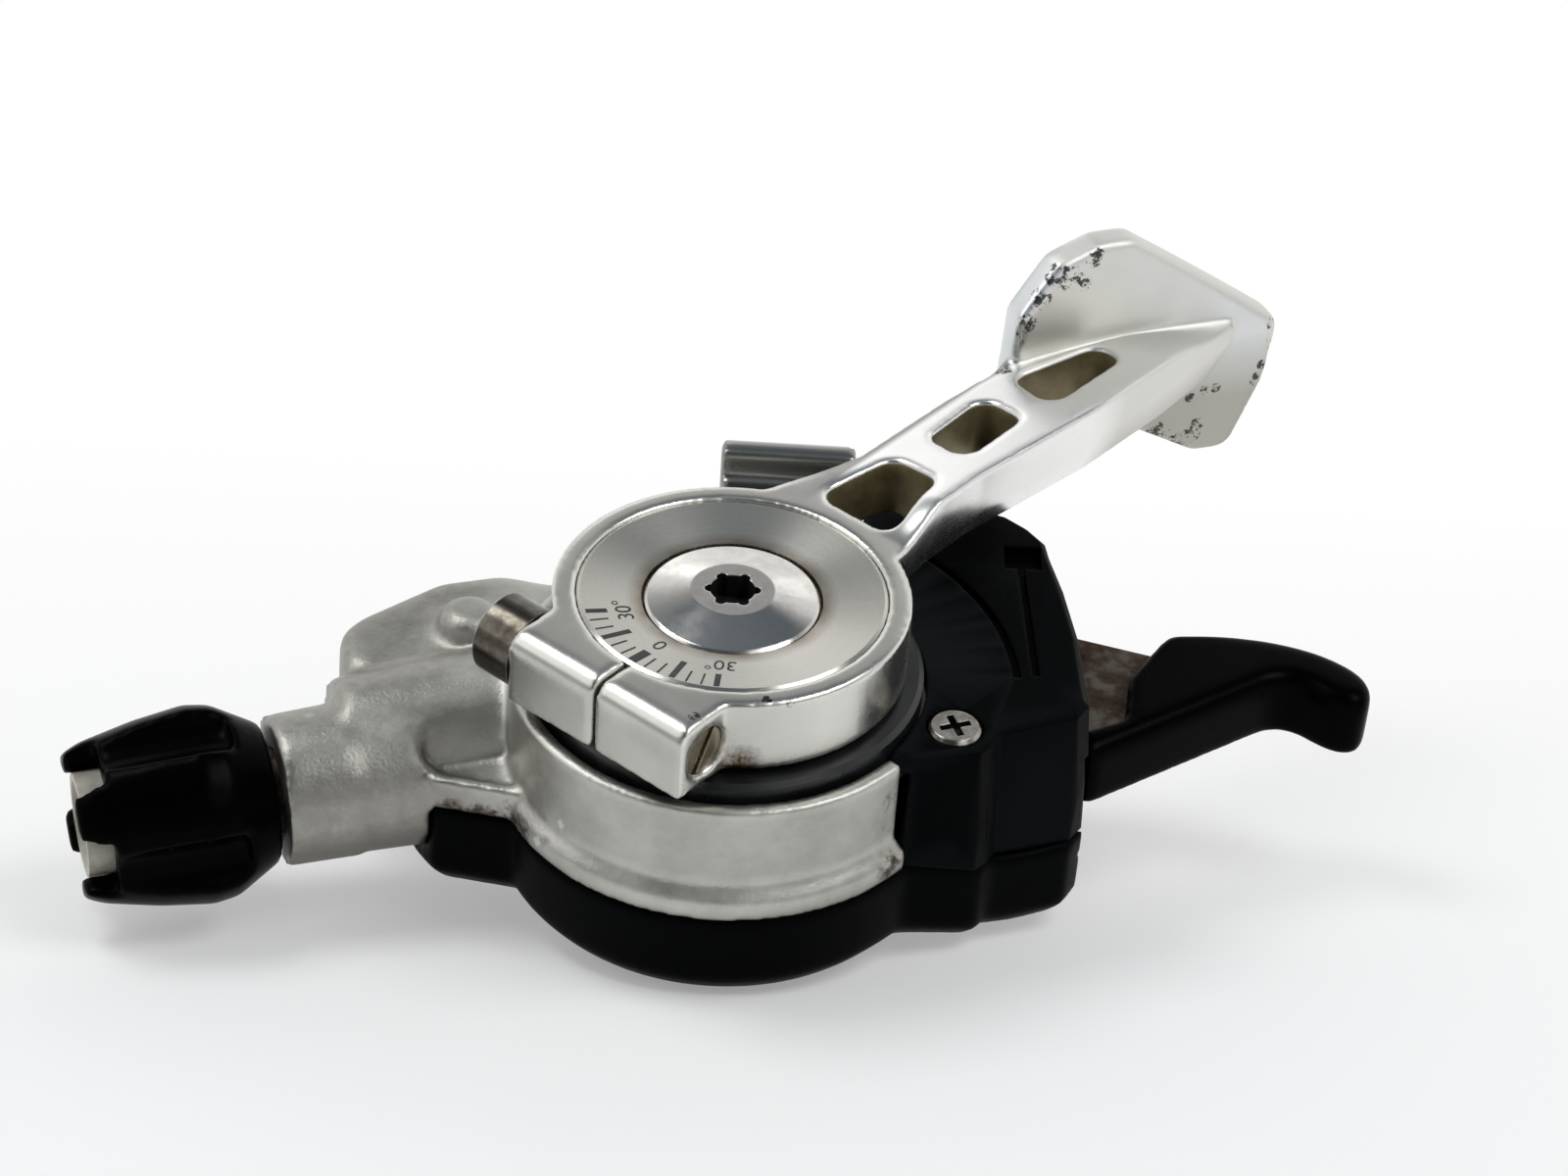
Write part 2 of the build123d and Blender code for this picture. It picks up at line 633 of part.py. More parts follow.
# Pins hanging from the deck
with BuildPart() as release_pin:
    with BuildSketch(level(7.4)):
        with Locations(RELEASE_PIN):
            Circle(1.73)
    extrude(amount=DECK_TOP - 7.4)
release_pin.part.label = "release_pin"
export_step(release_pin.part, "parts/release_pin.step")

with BuildPart() as hold_pin:
    with BuildSketch(level(11.4)):
        with Locations(HOLD_PIN):
            Circle(1.48)
    extrude(amount=DECK_TOP - 11.4)
hold_pin.part.label = "hold_pin"
export_step(hold_pin.part, "parts/hold_pin.step")

# Hold pawl, its nose at the crest of a tooth
with BuildPart() as hold_pawl:
    with BuildSketch(level(11.95)):
        with Locations(HOLD_PIN):
            Circle(2.6)
        with BuildLine():
            Polyline((14.2, 4.6), (9.7, 8.2), (10.9, 8.9), (16.6, 6.0), close=True)
        make_face()
        with BuildLine():
            Polyline((16.6, 5.8), (20.4, 6.8), (20.9, 5.2), (17.6, 2.0), close=True)
        make_face()
        with Locations(HOLD_PIN):
            Circle(1.48 + RUN_FIT, mode=Mode.SUBTRACT)
    extrude(amount=1.4)
hold_pawl.part.label = "hold_pawl"
export_step(hold_pawl.part, "parts/hold_pawl.step")

# Flat spiral spring of the hold pawl
with BuildPart() as hold_spring:
    with BuildSketch(level(13.7)):
        with BuildLine():
            Polyline(*spiral_points(HOLD_PIN[0], HOLD_PIN[1], 1.8, 0.5, 2))
            offset(amount=0.12, side=Side.BOTH)
        make_face()
    extrude(amount=1.5)
hold_spring.part.label = "hold_spring"
export_step(hold_spring.part, "parts/hold_spring.step")

# Steel arm of the release lever
with BuildPart() as release_core:
    with BuildSketch(level(CORE_LOW)):
        with Locations(RELEASE_PIN):
            Circle(3.6)
        with BuildLine():
            Polyline((18.6, 10.7), (23.4, 6.0), (31.0, 3.4), (40.0, 9.8), (47.0, 13.2), (43.0, 15.2),
                     (36.8, 15.6), (30.0, 17.6), (21.4, 17.4), close=True)
        make_face()
        with Locations(RELEASE_PIN):
            Circle(1.73 + RUN_FIT, mode=Mode.SUBTRACT)
    extrude(amount=CORE_T)
release_core.part.label = "release_core"
export_step(release_core.part, "parts/release_core.step")

# Moulded pad of the release lever
with BuildPart() as release_pad:
    with BuildSketch(level(6.2)) as pad_face:
        with BuildLine():
            pad_rim = Spline((38.0, 17.2), (43.6, 17.5), (49.2, 16.5), (53.3, 14.2), (55.0, 11.2),
                             (53.9, 8.9), (51.6, 9.2), (49.4, 10.9), (46.2, 11.1))
            Polyline(pad_rim @ 1, (30.9, 0.4), (29.8, 0.3), (29.8, 3.1), (33.4, 4.9), (34.0, 10.4),
                     pad_rim @ 0)
        make_face()
    extrude(amount=6.4)
    fillet(release_pad.edges().group_by(Axis.Z)[-1].filter_by(lambda e: e.center().X > 36), radius=1.2)
    with BuildSketch(level(CORE_LOW - 0.02)):
        with BuildLine():
            Polyline((28.0, 4.4), (31.0, 3.36), (40.02, 9.76), (47.1, 13.2), (43.02, 15.24),
                     (36.8, 15.64), (28.0, 18.2), close=True)
        make_face()
    extrude(amount=CORE_T + 0.04, mode=Mode.SUBTRACT)
release_pad.part.label = "release_pad"
export_step(release_pad.part, "parts/release_pad.step")

# Flat spiral return spring of the release lever
with BuildPart() as release_spring:
    with BuildSketch(level(11.2)):
        with BuildLine():
            Polyline(*spiral_points(RELEASE_PIN[0], RELEASE_PIN[1], 2.1, 0.6, 2))
            offset(amount=0.15, side=Side.BOTH)
        make_face()
    extrude(amount=2.2)
release_spring.part.label = "release_spring"
export_step(release_spring.part, "parts/release_spring.step")

# Adjuster knob: barrel shape with four flutes and four end fingers
with BuildPart() as adjuster_knob:
    with BuildSketch(Plane.XZ):
        with BuildLine():
            Polyline((4.3, 0), (5.9, 0), (6.6, 1.6), (7.6, 6.0), (8.2, 10.2), (7.9, 12.2), (5.7, 16.0),
                     (4.3, 16.0), close=True)
        make_face()
    revolve(axis=Axis.Z)
    with BuildSketch(Plane.XY):
        with PolarLocations(9.0, 4, start_angle=KNOB_TURN + 45):
            Circle(2.9)
    extrude(amount=13.2, mode=Mode.SUBTRACT)
    with BuildSketch(Plane.XY):
        with PolarLocations(5.6, 4, start_angle=KNOB_TURN + 45):
            Rectangle(5.0, 5.2)
    extrude(amount=2.6, mode=Mode.SUBTRACT)
adjuster_knob.part = adjuster_knob.part.moved(cable_plane(KNOB_TIP).location)
adjuster_knob.part.label = "adjuster_knob"
export_step(adjuster_knob.part, "parts/adjuster_knob.step")

# White sleeve with the socket for the cable housing
with BuildPart() as cable_sleeve:
    with BuildSketch(Plane.XZ):
        with BuildLine():
            Polyline((3.1, 1.8), (3.6, 0.6), (4.28, 0.6), (4.28, 12.0), (1.4, 12.0), (1.4, 10.6),
                     (3.1, 10.6), close=True)
        make_face()
    revolve(axis=Axis.Z)
cable_sleeve.part = cable_sleeve.part.moved(cable_plane(KNOB_TIP).location)
cable_sleeve.part.label = "cable_sleeve"
export_step(cable_sleeve.part, "parts/cable_sleeve.step")

# Threaded stem in the boss
with BuildPart() as adjuster_stem:
    with BuildSketch(Plane.XZ):
        with BuildLine():
            Polyline((1.4, 12.02), (4.28, 12.02), (4.28, 16.0), (3.55, 16.0), (3.55, 24.6), (1.4, 24.6),
                     close=True)
        make_face()
    revolve(axis=Axis.Z)
adjuster_stem.part = adjuster_stem.part.moved(cable_plane(KNOB_TIP).location)
adjuster_stem.part.label = "adjuster_stem"
export_step(adjuster_stem.part, "parts/adjuster_stem.step")

# Thumb lever: curved paddle, ladder arm, ring and pinch lug
ARM = [(6, -6.9), (12.5, -6.8), (19.5, -5.95), (25.0, -5.95), (32.0, -6.7), (40.0, -7.5), (51.3, -7.7),
       (61.6, -7.2), (61.9, -6.0), (53.8, -0.2), (42.2, 4.6), (40.0, 4.1), (33.0, 4.5), (22.0, 4.55),
       (12.8, 7.2), (6, 7.2)]
PADDLE_WAY = (cos(radians(PADDLE_ANGLE)), sin(radians(PADDLE_ANGLE)), 0)
PADDLE_OUT = (sin(radians(PADDLE_ANGLE)), -cos(radians(PADDLE_ANGLE)), 0)
PADDLE_PLANE = Plane(origin=(41.0, 42.6, 0), x_dir=PADDLE_WAY, z_dir=PADDLE_OUT)
with BuildPart() as thumb_lever:
    with BuildSketch(lever_level(10)):
        with BuildLine():
            face_arc = ThreePointArc((40.6, 3.75), (53.3, -1.3), (66.4, -9.65))
            back_arc = ThreePointArc((41.8, 6.7), (54.75, 1.5), (68.1, -6.95))
            Line(face_arc @ 0, back_arc @ 0)
            Line(face_arc @ 1, back_arc @ 1)
        make_face()
    extrude(amount=30)
    with BuildSketch(PADDLE_PLANE) as paddle_face:
        with BuildLine():
            Polyline((-19.2, 24.0), (-18.8, 31.6), (-15.2, 36.2), (-11.0, 37.4), (-7.6, 37.2), (8.0, 26.6),
                     (7.4, 20.2), (4.9, 12.9), (1.4, 12.8), (-12.0, 20.4), close=True)
        make_face()
        fillet(paddle_face.vertices().filter_by(lambda v: v.Z > 25 or v.Z < 16), radius=1.9)
    extrude(amount=14, both=True, mode=Mode.INTERSECT)
    fillet(thumb_lever.edges().filter_by(lambda e: e.center().Z > 28.5).filter_by(
        lambda e: abs(e.tangent_at(0.5).Z) > 0.0), radius=0.7)
    with BuildSketch(lever_level(25.5)):
        with BuildLine():
            Polyline(*ARM, close=True)
        make_face()
    extrude(amount=RING_TOP - 25.5)
    with BuildSketch(lever_level(25.5)):
        with BuildLine():
            Polyline(*ARM, close=True)
        make_face()
    extrude(amount=3.6, dir=(0, 0, -1), taper=16)
    with BuildSketch(lever_level(RING_LOW)):
        Circle(LEVER_RING_R)
        with Locations((-LUG_FRONT / 2, 0)):
            Rectangle(LUG_FRONT, 2 * LUG_HALF)
    extrude(amount=RING_TOP - RING_LOW)
    lug_way = Axis((0, 0, 0), (-cos(radians(LEVER_ANGLE)), -sin(radians(LEVER_ANGLE)), 0))
    lug_front = thumb_lever.faces().sort_by(lug_way)[-1]
    fillet(lug_front.edges().sort_by(Axis.Z)[-1], radius=1.7)
    with BuildSketch(lever_level(RING_LOW - 1)):
        Circle(DIAL_R + 0.03)
        with Locations((-14, 0)):
            Rectangle(8, 1.0)
    extrude(amount=9, mode=Mode.SUBTRACT)
    with BuildSketch(lever_level(RING_LOW - 1)) as windows:
        with BuildLine():
            Polyline((15.0, 3.5), (23.2, 1.9), (22.4, -3.3), (14.8, -4.4), close=True)
        make_face()
        with BuildLine():
            Polyline((27.5, 1.6), (35.8, 2.0), (34.7, -3.0), (26.5, -3.1), close=True)
        make_face()
        with BuildLine():
            Polyline((39.9, 1.9), (49.0, -0.7), (48.0, -3.9), (37.9, -3.7), close=True)
        make_face()
        fillet(windows.vertices(), radius=1.5)
    extrude(amount=9, mode=Mode.SUBTRACT)
    with BuildSketch(lever_end(-14)):
        with Locations((PINCH_U, PINCH_Z)):
            Circle(2.1)
    extrude(amount=28, mode=Mode.SUBTRACT)
    with BuildSketch(lever_end(-LUG_HALF)):
        with Locations((PINCH_U, PINCH_Z)):
            Circle(3.6)
    extrude(amount=-5, mode=Mode.SUBTRACT)
thumb_lever.part.label = "thumb_lever"
export_step(thumb_lever.part, "parts/thumb_lever.step")

# Pinch bolt of the lever ring
with BuildPart() as pinch_bolt:
    with BuildSketch(lever_end(-LUG_HALF - 4.02)):
        with Locations((PINCH_U, PINCH_Z)):
            Circle(3.4)
    extrude(amount=4.0)
    chamfer(pinch_bolt.edges().filter_by(GeomType.CIRCLE)[0], length=0.35)
    with BuildSketch(lever_end(-LUG_HALF - 4.02)):
        with Locations((PINCH_U, PINCH_Z)):
            RegularPolygon(1.75, 6)
    extrude(amount=2.4, mode=Mode.SUBTRACT)
    with BuildSketch(lever_end(-LUG_HALF - 0.02)):
        with Locations((PINCH_U, PINCH_Z)):
            Circle(2.05)
    extrude(amount=17.6)
    with BuildSketch(lever_end(LUG_HALF - 0.42)):
        with Locations((PINCH_U, PINCH_Z)):
            Rectangle(5, 0.7, rotation=60)
    extrude(amount=-0.8, mode=Mode.SUBTRACT)
pinch_bolt.part.label = "pinch_bolt"
export_step(pinch_bolt.part, "parts/pinch_bolt.step")
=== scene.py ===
"""Looks for the trigger gear shifter: finishes, dial print, studio and camera."""
import json
import math

import bmesh
import bpy
from mathutils import Matrix, Vector

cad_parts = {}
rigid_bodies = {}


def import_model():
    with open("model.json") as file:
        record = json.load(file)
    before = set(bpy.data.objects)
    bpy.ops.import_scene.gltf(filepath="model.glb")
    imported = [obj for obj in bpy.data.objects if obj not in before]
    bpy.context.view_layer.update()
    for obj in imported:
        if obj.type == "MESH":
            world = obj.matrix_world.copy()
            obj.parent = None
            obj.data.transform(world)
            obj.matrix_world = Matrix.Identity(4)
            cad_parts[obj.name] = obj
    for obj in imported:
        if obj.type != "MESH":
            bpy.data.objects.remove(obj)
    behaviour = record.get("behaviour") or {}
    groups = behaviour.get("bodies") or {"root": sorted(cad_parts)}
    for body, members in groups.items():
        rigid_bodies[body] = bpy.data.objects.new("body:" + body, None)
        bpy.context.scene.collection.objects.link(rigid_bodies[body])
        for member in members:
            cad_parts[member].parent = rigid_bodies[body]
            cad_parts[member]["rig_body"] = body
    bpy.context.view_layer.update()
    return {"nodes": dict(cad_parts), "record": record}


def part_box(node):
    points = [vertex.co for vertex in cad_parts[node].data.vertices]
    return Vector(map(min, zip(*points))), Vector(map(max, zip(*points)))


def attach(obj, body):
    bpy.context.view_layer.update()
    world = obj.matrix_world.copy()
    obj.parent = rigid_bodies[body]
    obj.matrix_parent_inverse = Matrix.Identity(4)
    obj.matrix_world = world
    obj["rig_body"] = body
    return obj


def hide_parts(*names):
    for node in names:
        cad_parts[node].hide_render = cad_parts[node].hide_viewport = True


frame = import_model()

MM = 0.001

# Camera of the photograph, in the row frame
CAMERA_MM = (0.0, -217.9, 193.3)
CAMERA_PITCH = 37.22
CAMERA_YAW = 1.07
CAMERA_ROLL = -3.93
FOCAL_PX = 3500.0
PHOTO_WIDTH_PX = 1600.0
SENSOR_MM = 36.0

# Dial print
LEVER_ANGLE = 51.5
DIAL_MID_ANGLE = LEVER_ANGLE + 180.0
TICK_STEP = 5.75
TICK_COUNT = 13
TICK_SHAPES = {0: (10.2, 0.40), 3: (9.5, 0.25), 6: (10.3, 0.24)}
THIN_TICK = (10.5, 0.08)
TICK_OUTER_R = 12.05
PRINT_LIFT = 0.02
NUMBER_SIZE = 1.9
ZERO_R = 8.7
THIRTY_R = 8.9
THIRTY_ANGLE = 34.5
DISH_RIM_R = 12.2
DISH_RIM_Z = 27.05
DISH_EYE_R = 7.3
DISH_EYE_Z = 26.45
ALONG = Vector((math.cos(math.radians(LEVER_ANGLE)), math.sin(math.radians(LEVER_ANGLE)), 0))
ACROSS = Vector((-ALONG.y, ALONG.x, 0))

# Forms that the scene gives to the CAD nodes, in millimetres; a pair is where a blend starts and ends
WING_DROP = 2.6
WING_X = (12.0, 26.0)
WING_Z = (8.8, 10.2)
CORNER_REACH = 2.6
CORNER_X = (12.0, 20.0)
CORNER_Y = (19.0, 21.5)
CORNER_Z = (13.0, 15.0)
ARM_LEAN = 0.16
ARM_FAR_SIDE = 4.5
ARM_ROOT = (14.0, 20.0)
ARM_END = (50.0, 60.0)
ARM_TOP_Z = (24.0, 26.0)
ARM_CLEAR_Z = (28.6, 29.4)
PADDLE_FOOT = 38.0
PADDLE_BLEND = (-1.2, -0.1)
PADDLE_NEAR = (40.6, 3.75)
PADDLE_FAR_U = 53.3
PADDLE_SLOPE = 0.398
PADDLE_BOW = 0.0093
LUG_START = -10.0
SLOT_PINCH = 0.34
SLOT_REACH = (0.7, 3.2)
WINDOW_RIM = 0.33
WINDOW_TOP_Z = 26.8
SHOULDER_X = -16.0
SHOULDER_Z = 12.3
RING_MID = 0.6
RING_R = 12.4

# Where the finishes change, and where painted shade, painted sheen and a painted reflection go, in
# millimetres: along the lever, across it, up it, and along the collar
ON_ARM = (13.0, 18.0)
OFF_ARM = (50.0, 40.0)
ON_PADDLE = (39.0, 44.0)
FAR_EDGE = (3.3, 3.9)
PADDLE_LOW = (25.5, 19.0)
COLLAR = (-16.0, -24.0)
SCREW_GRIME = ((1.2, -13.9, 21.2), 3.0)
BOLT_STAIN = (7.2, 8.6)
SOCKETS = (("hub_bolt", 0.0, 0.0, 2.6), ("cover_screw", 18.4, -5.6, 1.5))
SOCKET_TOP = 0.15
SLOTTED_END = 1.6

# What the floor touches and where it starts to glow, in millimetres, and its half width in metres
LID_EDGE_IN = 1.6
BAND_R = 14.3
BAND_Y = 33.5
BAND_Z = 1.1
FLOOR_GLOW = (-20.0, 120.0)
FLOOR_HALF = 2.0


def linear(hex_code):
    """sRGB hex to the linear colour that a socket takes."""
    parts = [int(hex_code[i:i + 2], 16) / 255 for i in (1, 3, 5)]
    return tuple(c / 12.92 if c <= 0.04045 else ((c + 0.055) / 1.055) ** 2.4 for c in parts) + (1.0,)


def per_mm(size):
    """Texture scale that repeats once in this many millimetres."""
    return 1.0 / (size * MM)


def node(tree, kind, sockets=None, **settings):
    """Adds a node; each socket takes a value or another node's output."""
    made = tree.nodes.new(kind)
    for name, value in settings.items():
        setattr(made, name, value)
    for name, value in (sockets or {}).items():
        if isinstance(value, bpy.types.NodeSocket):
            tree.links.new(value, made.inputs[name])
        else:
            made.inputs[name].default_value = value
    return made


def ramp_stops(ramp, stops):
    """Sets the stops of a colour ramp from (place, value or colour) pairs."""
    elements = ramp.color_ramp.elements
    while len(elements) < len(stops):
        elements.new(0.5)
    for element, (place, value) in zip(elements, stops):
        element.position = place
        element.color = value if isinstance(value, tuple) else (value, value, value, 1.0)


def new_material(name):
    """An empty material with its principled shader, and the place on the piece that textures follow."""
    material = bpy.data.materials.new(name)
    material.use_nodes = True
    tree = material.node_tree
    tree.nodes.clear()
    shader = node(tree, "ShaderNodeBsdfPrincipled")
    out = node(tree, "ShaderNodeOutputMaterial")
    tree.links.new(shader.outputs["BSDF"], out.inputs["Surface"])
    place = node(tree, "ShaderNodeTexCoord").outputs["Object"]
    return material, tree, shader, place


def soften(name, voxel, passes, loose=None, loose_passes=0, bend=None):
    """A piece with the rounded edges of the real one, grown from its CAD node.

    loose marks where it blends more; bend moves a point to where the real form has it.
    """
    cad = frame["nodes"][name]
    shape = bmesh.new()
    shape.from_mesh(cad.data)
    bmesh.ops.remove_doubles(shape, verts=shape.verts, dist=1e-6)
    mesh = bpy.data.meshes.new(name + "_finished")
    shape.to_mesh(mesh)
    shape.free()
    piece = bpy.data.objects.new(name + "_finished", mesh)
    bpy.context.collection.objects.link(piece)
    if voxel:
        grid = piece.modifiers.new("grid", "REMESH")
        grid.mode = "VOXEL"
        grid.voxel_size = voxel * MM
        bpy.context.view_layer.update()
        mesh = bpy.data.meshes.new_from_object(piece.evaluated_get(bpy.context.evaluated_depsgraph_get()))
        piece.modifiers.clear()
        piece.data = mesh
    shape = bmesh.new()
    shape.from_mesh(mesh)
    for _ in range(passes):
        bmesh.ops.smooth_vert(shape, verts=shape.verts, factor=0.5, use_axis_x=True, use_axis_y=True,
                              use_axis_z=True)
    if loose:
        soft_verts = [v for v in shape.verts if loose(v.co / MM)]
        for _ in range(loose_passes):
            bmesh.ops.smooth_vert(shape, verts=soft_verts, factor=0.5, use_axis_x=True, use_axis_y=True,
                                  use_axis_z=True)
    if bend:
        for vert in shape.verts:
            vert.co += bend(vert.co / MM) * MM
    for face in shape.faces:
        face.smooth = voxel > 0
    shape.to_mesh(mesh)
    shape.free()
    mesh.materials.clear()
    mesh.materials.append(FINISH[SLOT_OF[name]])
    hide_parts(name)
    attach(piece, BODY_OF[name])
    return piece


def spot_mask(tree, place, middle_mm, reach_mm, noise):
    """Nought to one mask that is strong near a point and broken up by a noise."""
    middle = tuple(c * MM for c in middle_mm)
    gap = node(tree, "ShaderNodeVectorMath", {0: place, 1: middle}, operation="DISTANCE")
    near = node(tree, "ShaderNodeMapRange", {"Value": gap.outputs["Value"], "From Min": 0.0,
                                             "From Max": reach_mm * MM, "To Min": 1.0, "To Max": 0.0})
    mask = node(tree, "ShaderNodeMath", {0: near.outputs["Result"], 1: noise}, operation="MULTIPLY")
    return mask.outputs["Value"]


def cast_aluminium():
    """Bead-blasted die casting: even grey grain, a little patchy.

    Brown dirt cakes at listed spots, edges are rubbed bright, hollows and downward faces carry painted
    shade, and the cable collar is a darker, mottled grey.
    """
    material, tree, shader, place = new_material("bead_blasted_cast_aluminium")
    grain = node(tree, "ShaderNodeTexNoise", {"Vector": place, "Scale": per_mm(0.30), "Detail": 3.0})
    patch = node(tree, "ShaderNodeTexNoise", {"Vector": place, "Scale": per_mm(6.0), "Detail": 6.0,
                                              "Roughness": 0.65})
    tone = node(tree, "ShaderNodeValToRGB", {"Fac": patch.outputs["Fac"]})
    ramp_stops(tone, [(0.30, linear("#A9A8A1")), (0.55, linear("#C0BFB9")), (0.75, linear("#D0CFCA"))])
    speck = node(tree, "ShaderNodeTexNoise", {"Vector": place, "Scale": per_mm(1.1), "Detail": 9.0,
                                              "Roughness": 0.75})
    broken = node(tree, "ShaderNodeValToRGB", {"Fac": speck.outputs["Fac"]})
    ramp_stops(broken, [(0.38, 0.0), (0.60, 1.0)])
    stains = node(tree, "ShaderNodeValToRGB", {"Fac": speck.outputs["Fac"]})
    ramp_stops(stains, [(0.66, 0.0), (0.80, 0.35)])
    dirt = stains.outputs["Color"]
    for middle, reach in CAST_STAINS:
        spot = spot_mask(tree, place, middle, reach, broken.outputs["Color"])
        caked = node(tree, "ShaderNodeMapRange", {"Value": spot, "From Min": 0.08, "From Max": 0.45})
        added = node(tree, "ShaderNodeMath", {0: dirt, 1: caked.outputs["Result"]}, operation="MAXIMUM")
        dirt = added.outputs["Value"]
    edges = node(tree, "ShaderNodeNewGeometry").outputs["Pointiness"]
    worn = node(tree, "ShaderNodeValToRGB", {"Fac": edges})
    ramp_stops(worn, [(0.53, 0.0), (0.60, 0.8)])
    # Painted shade: hollows and creases, where pointiness is low, are painted a darker grey
    crevice_shade = node(tree, "ShaderNodeValToRGB", {"Fac": edges})
    ramp_stops(crevice_shade, [(0.40, 0.7), (0.48, 0.0)])
    rubbed_and_sheen = node(tree, "ShaderNodeMix", {"Factor": worn.outputs["Color"], "A": tone.outputs["Color"],
                                          "B": linear("#E6E6E3")}, data_type="RGBA")
    shaded = node(tree, "ShaderNodeMix", {"Factor": crevice_shade.outputs["Color"], "A": rubbed_and_sheen.outputs["Result"],
                                          "B": linear("#7E7C74")}, data_type="RGBA")
    # Painted shade: faces turned downwards are painted darker, towards #57534B
    outward = node(tree, "ShaderNodeNewGeometry").outputs["Normal"]
    facing = node(tree, "ShaderNodeSeparateXYZ", {"Vector": outward})
    underside_shade = node(tree, "ShaderNodeMapRange", {"Value": facing.outputs["Z"], "From Min": 0.05,
                                              "From Max": -0.6, "To Min": 0.0, "To Max": 0.92})
    low_shaded = node(tree, "ShaderNodeMix", {"Factor": underside_shade.outputs["Result"], "A": shaded.outputs["Result"],
                                          "B": linear("#57534B")}, data_type="RGBA")
    along_x = node(tree, "ShaderNodeSeparateXYZ", {"Vector": place}).outputs["X"]
    top_shade_and_collar_grey = node(tree, "ShaderNodeMapRange", {"Value": along_x, "From Min": COLLAR[0] * MM,
                                                "From Max": COLLAR[1] * MM})
    mottle = node(tree, "ShaderNodeMapRange", {"Value": speck.outputs["Fac"], "From Min": 0.3,
                                               "From Max": 0.7, "To Min": 0.40, "To Max": 0.75})
    mottled = node(tree, "ShaderNodeMath", {0: top_shade_and_collar_grey.outputs["Result"], 1: mottle.outputs["Result"]},
                   operation="MULTIPLY")
    greyed = node(tree, "ShaderNodeMix", {"Factor": mottled.outputs["Value"], "A": low_shaded.outputs["Result"],
                                          "B": linear("#7C7A73")}, data_type="RGBA")
    colour = node(tree, "ShaderNodeMix", {"Factor": dirt, "A": greyed.outputs["Result"],
                                          "B": linear("#3A2814")}, data_type="RGBA")
    metal = node(tree, "ShaderNodeMapRange", {"Value": dirt, "To Min": 1.0, "To Max": 0.25})
    rough = node(tree, "ShaderNodeMapRange", {"Value": patch.outputs["Fac"], "From Min": 0.3,
                                              "From Max": 0.7, "To Min": 0.34, "To Max": 0.50})
    ripple = node(tree, "ShaderNodeBump", {"Height": speck.outputs["Fac"], "Strength": 0.25,
                                           "Distance": 0.15 * MM})
    bump = node(tree, "ShaderNodeBump", {"Height": grain.outputs["Fac"], "Strength": 0.50,
                                         "Distance": 0.06 * MM, "Normal": ripple.outputs["Normal"]})
    tree.links.new(colour.outputs["Result"], shader.inputs["Base Color"])
    tree.links.new(metal.outputs["Result"], shader.inputs["Metallic"])
    tree.links.new(rough.outputs["Result"], shader.inputs["Roughness"])
    tree.links.new(bump.outputs["Normal"], shader.inputs["Normal"])
    return material


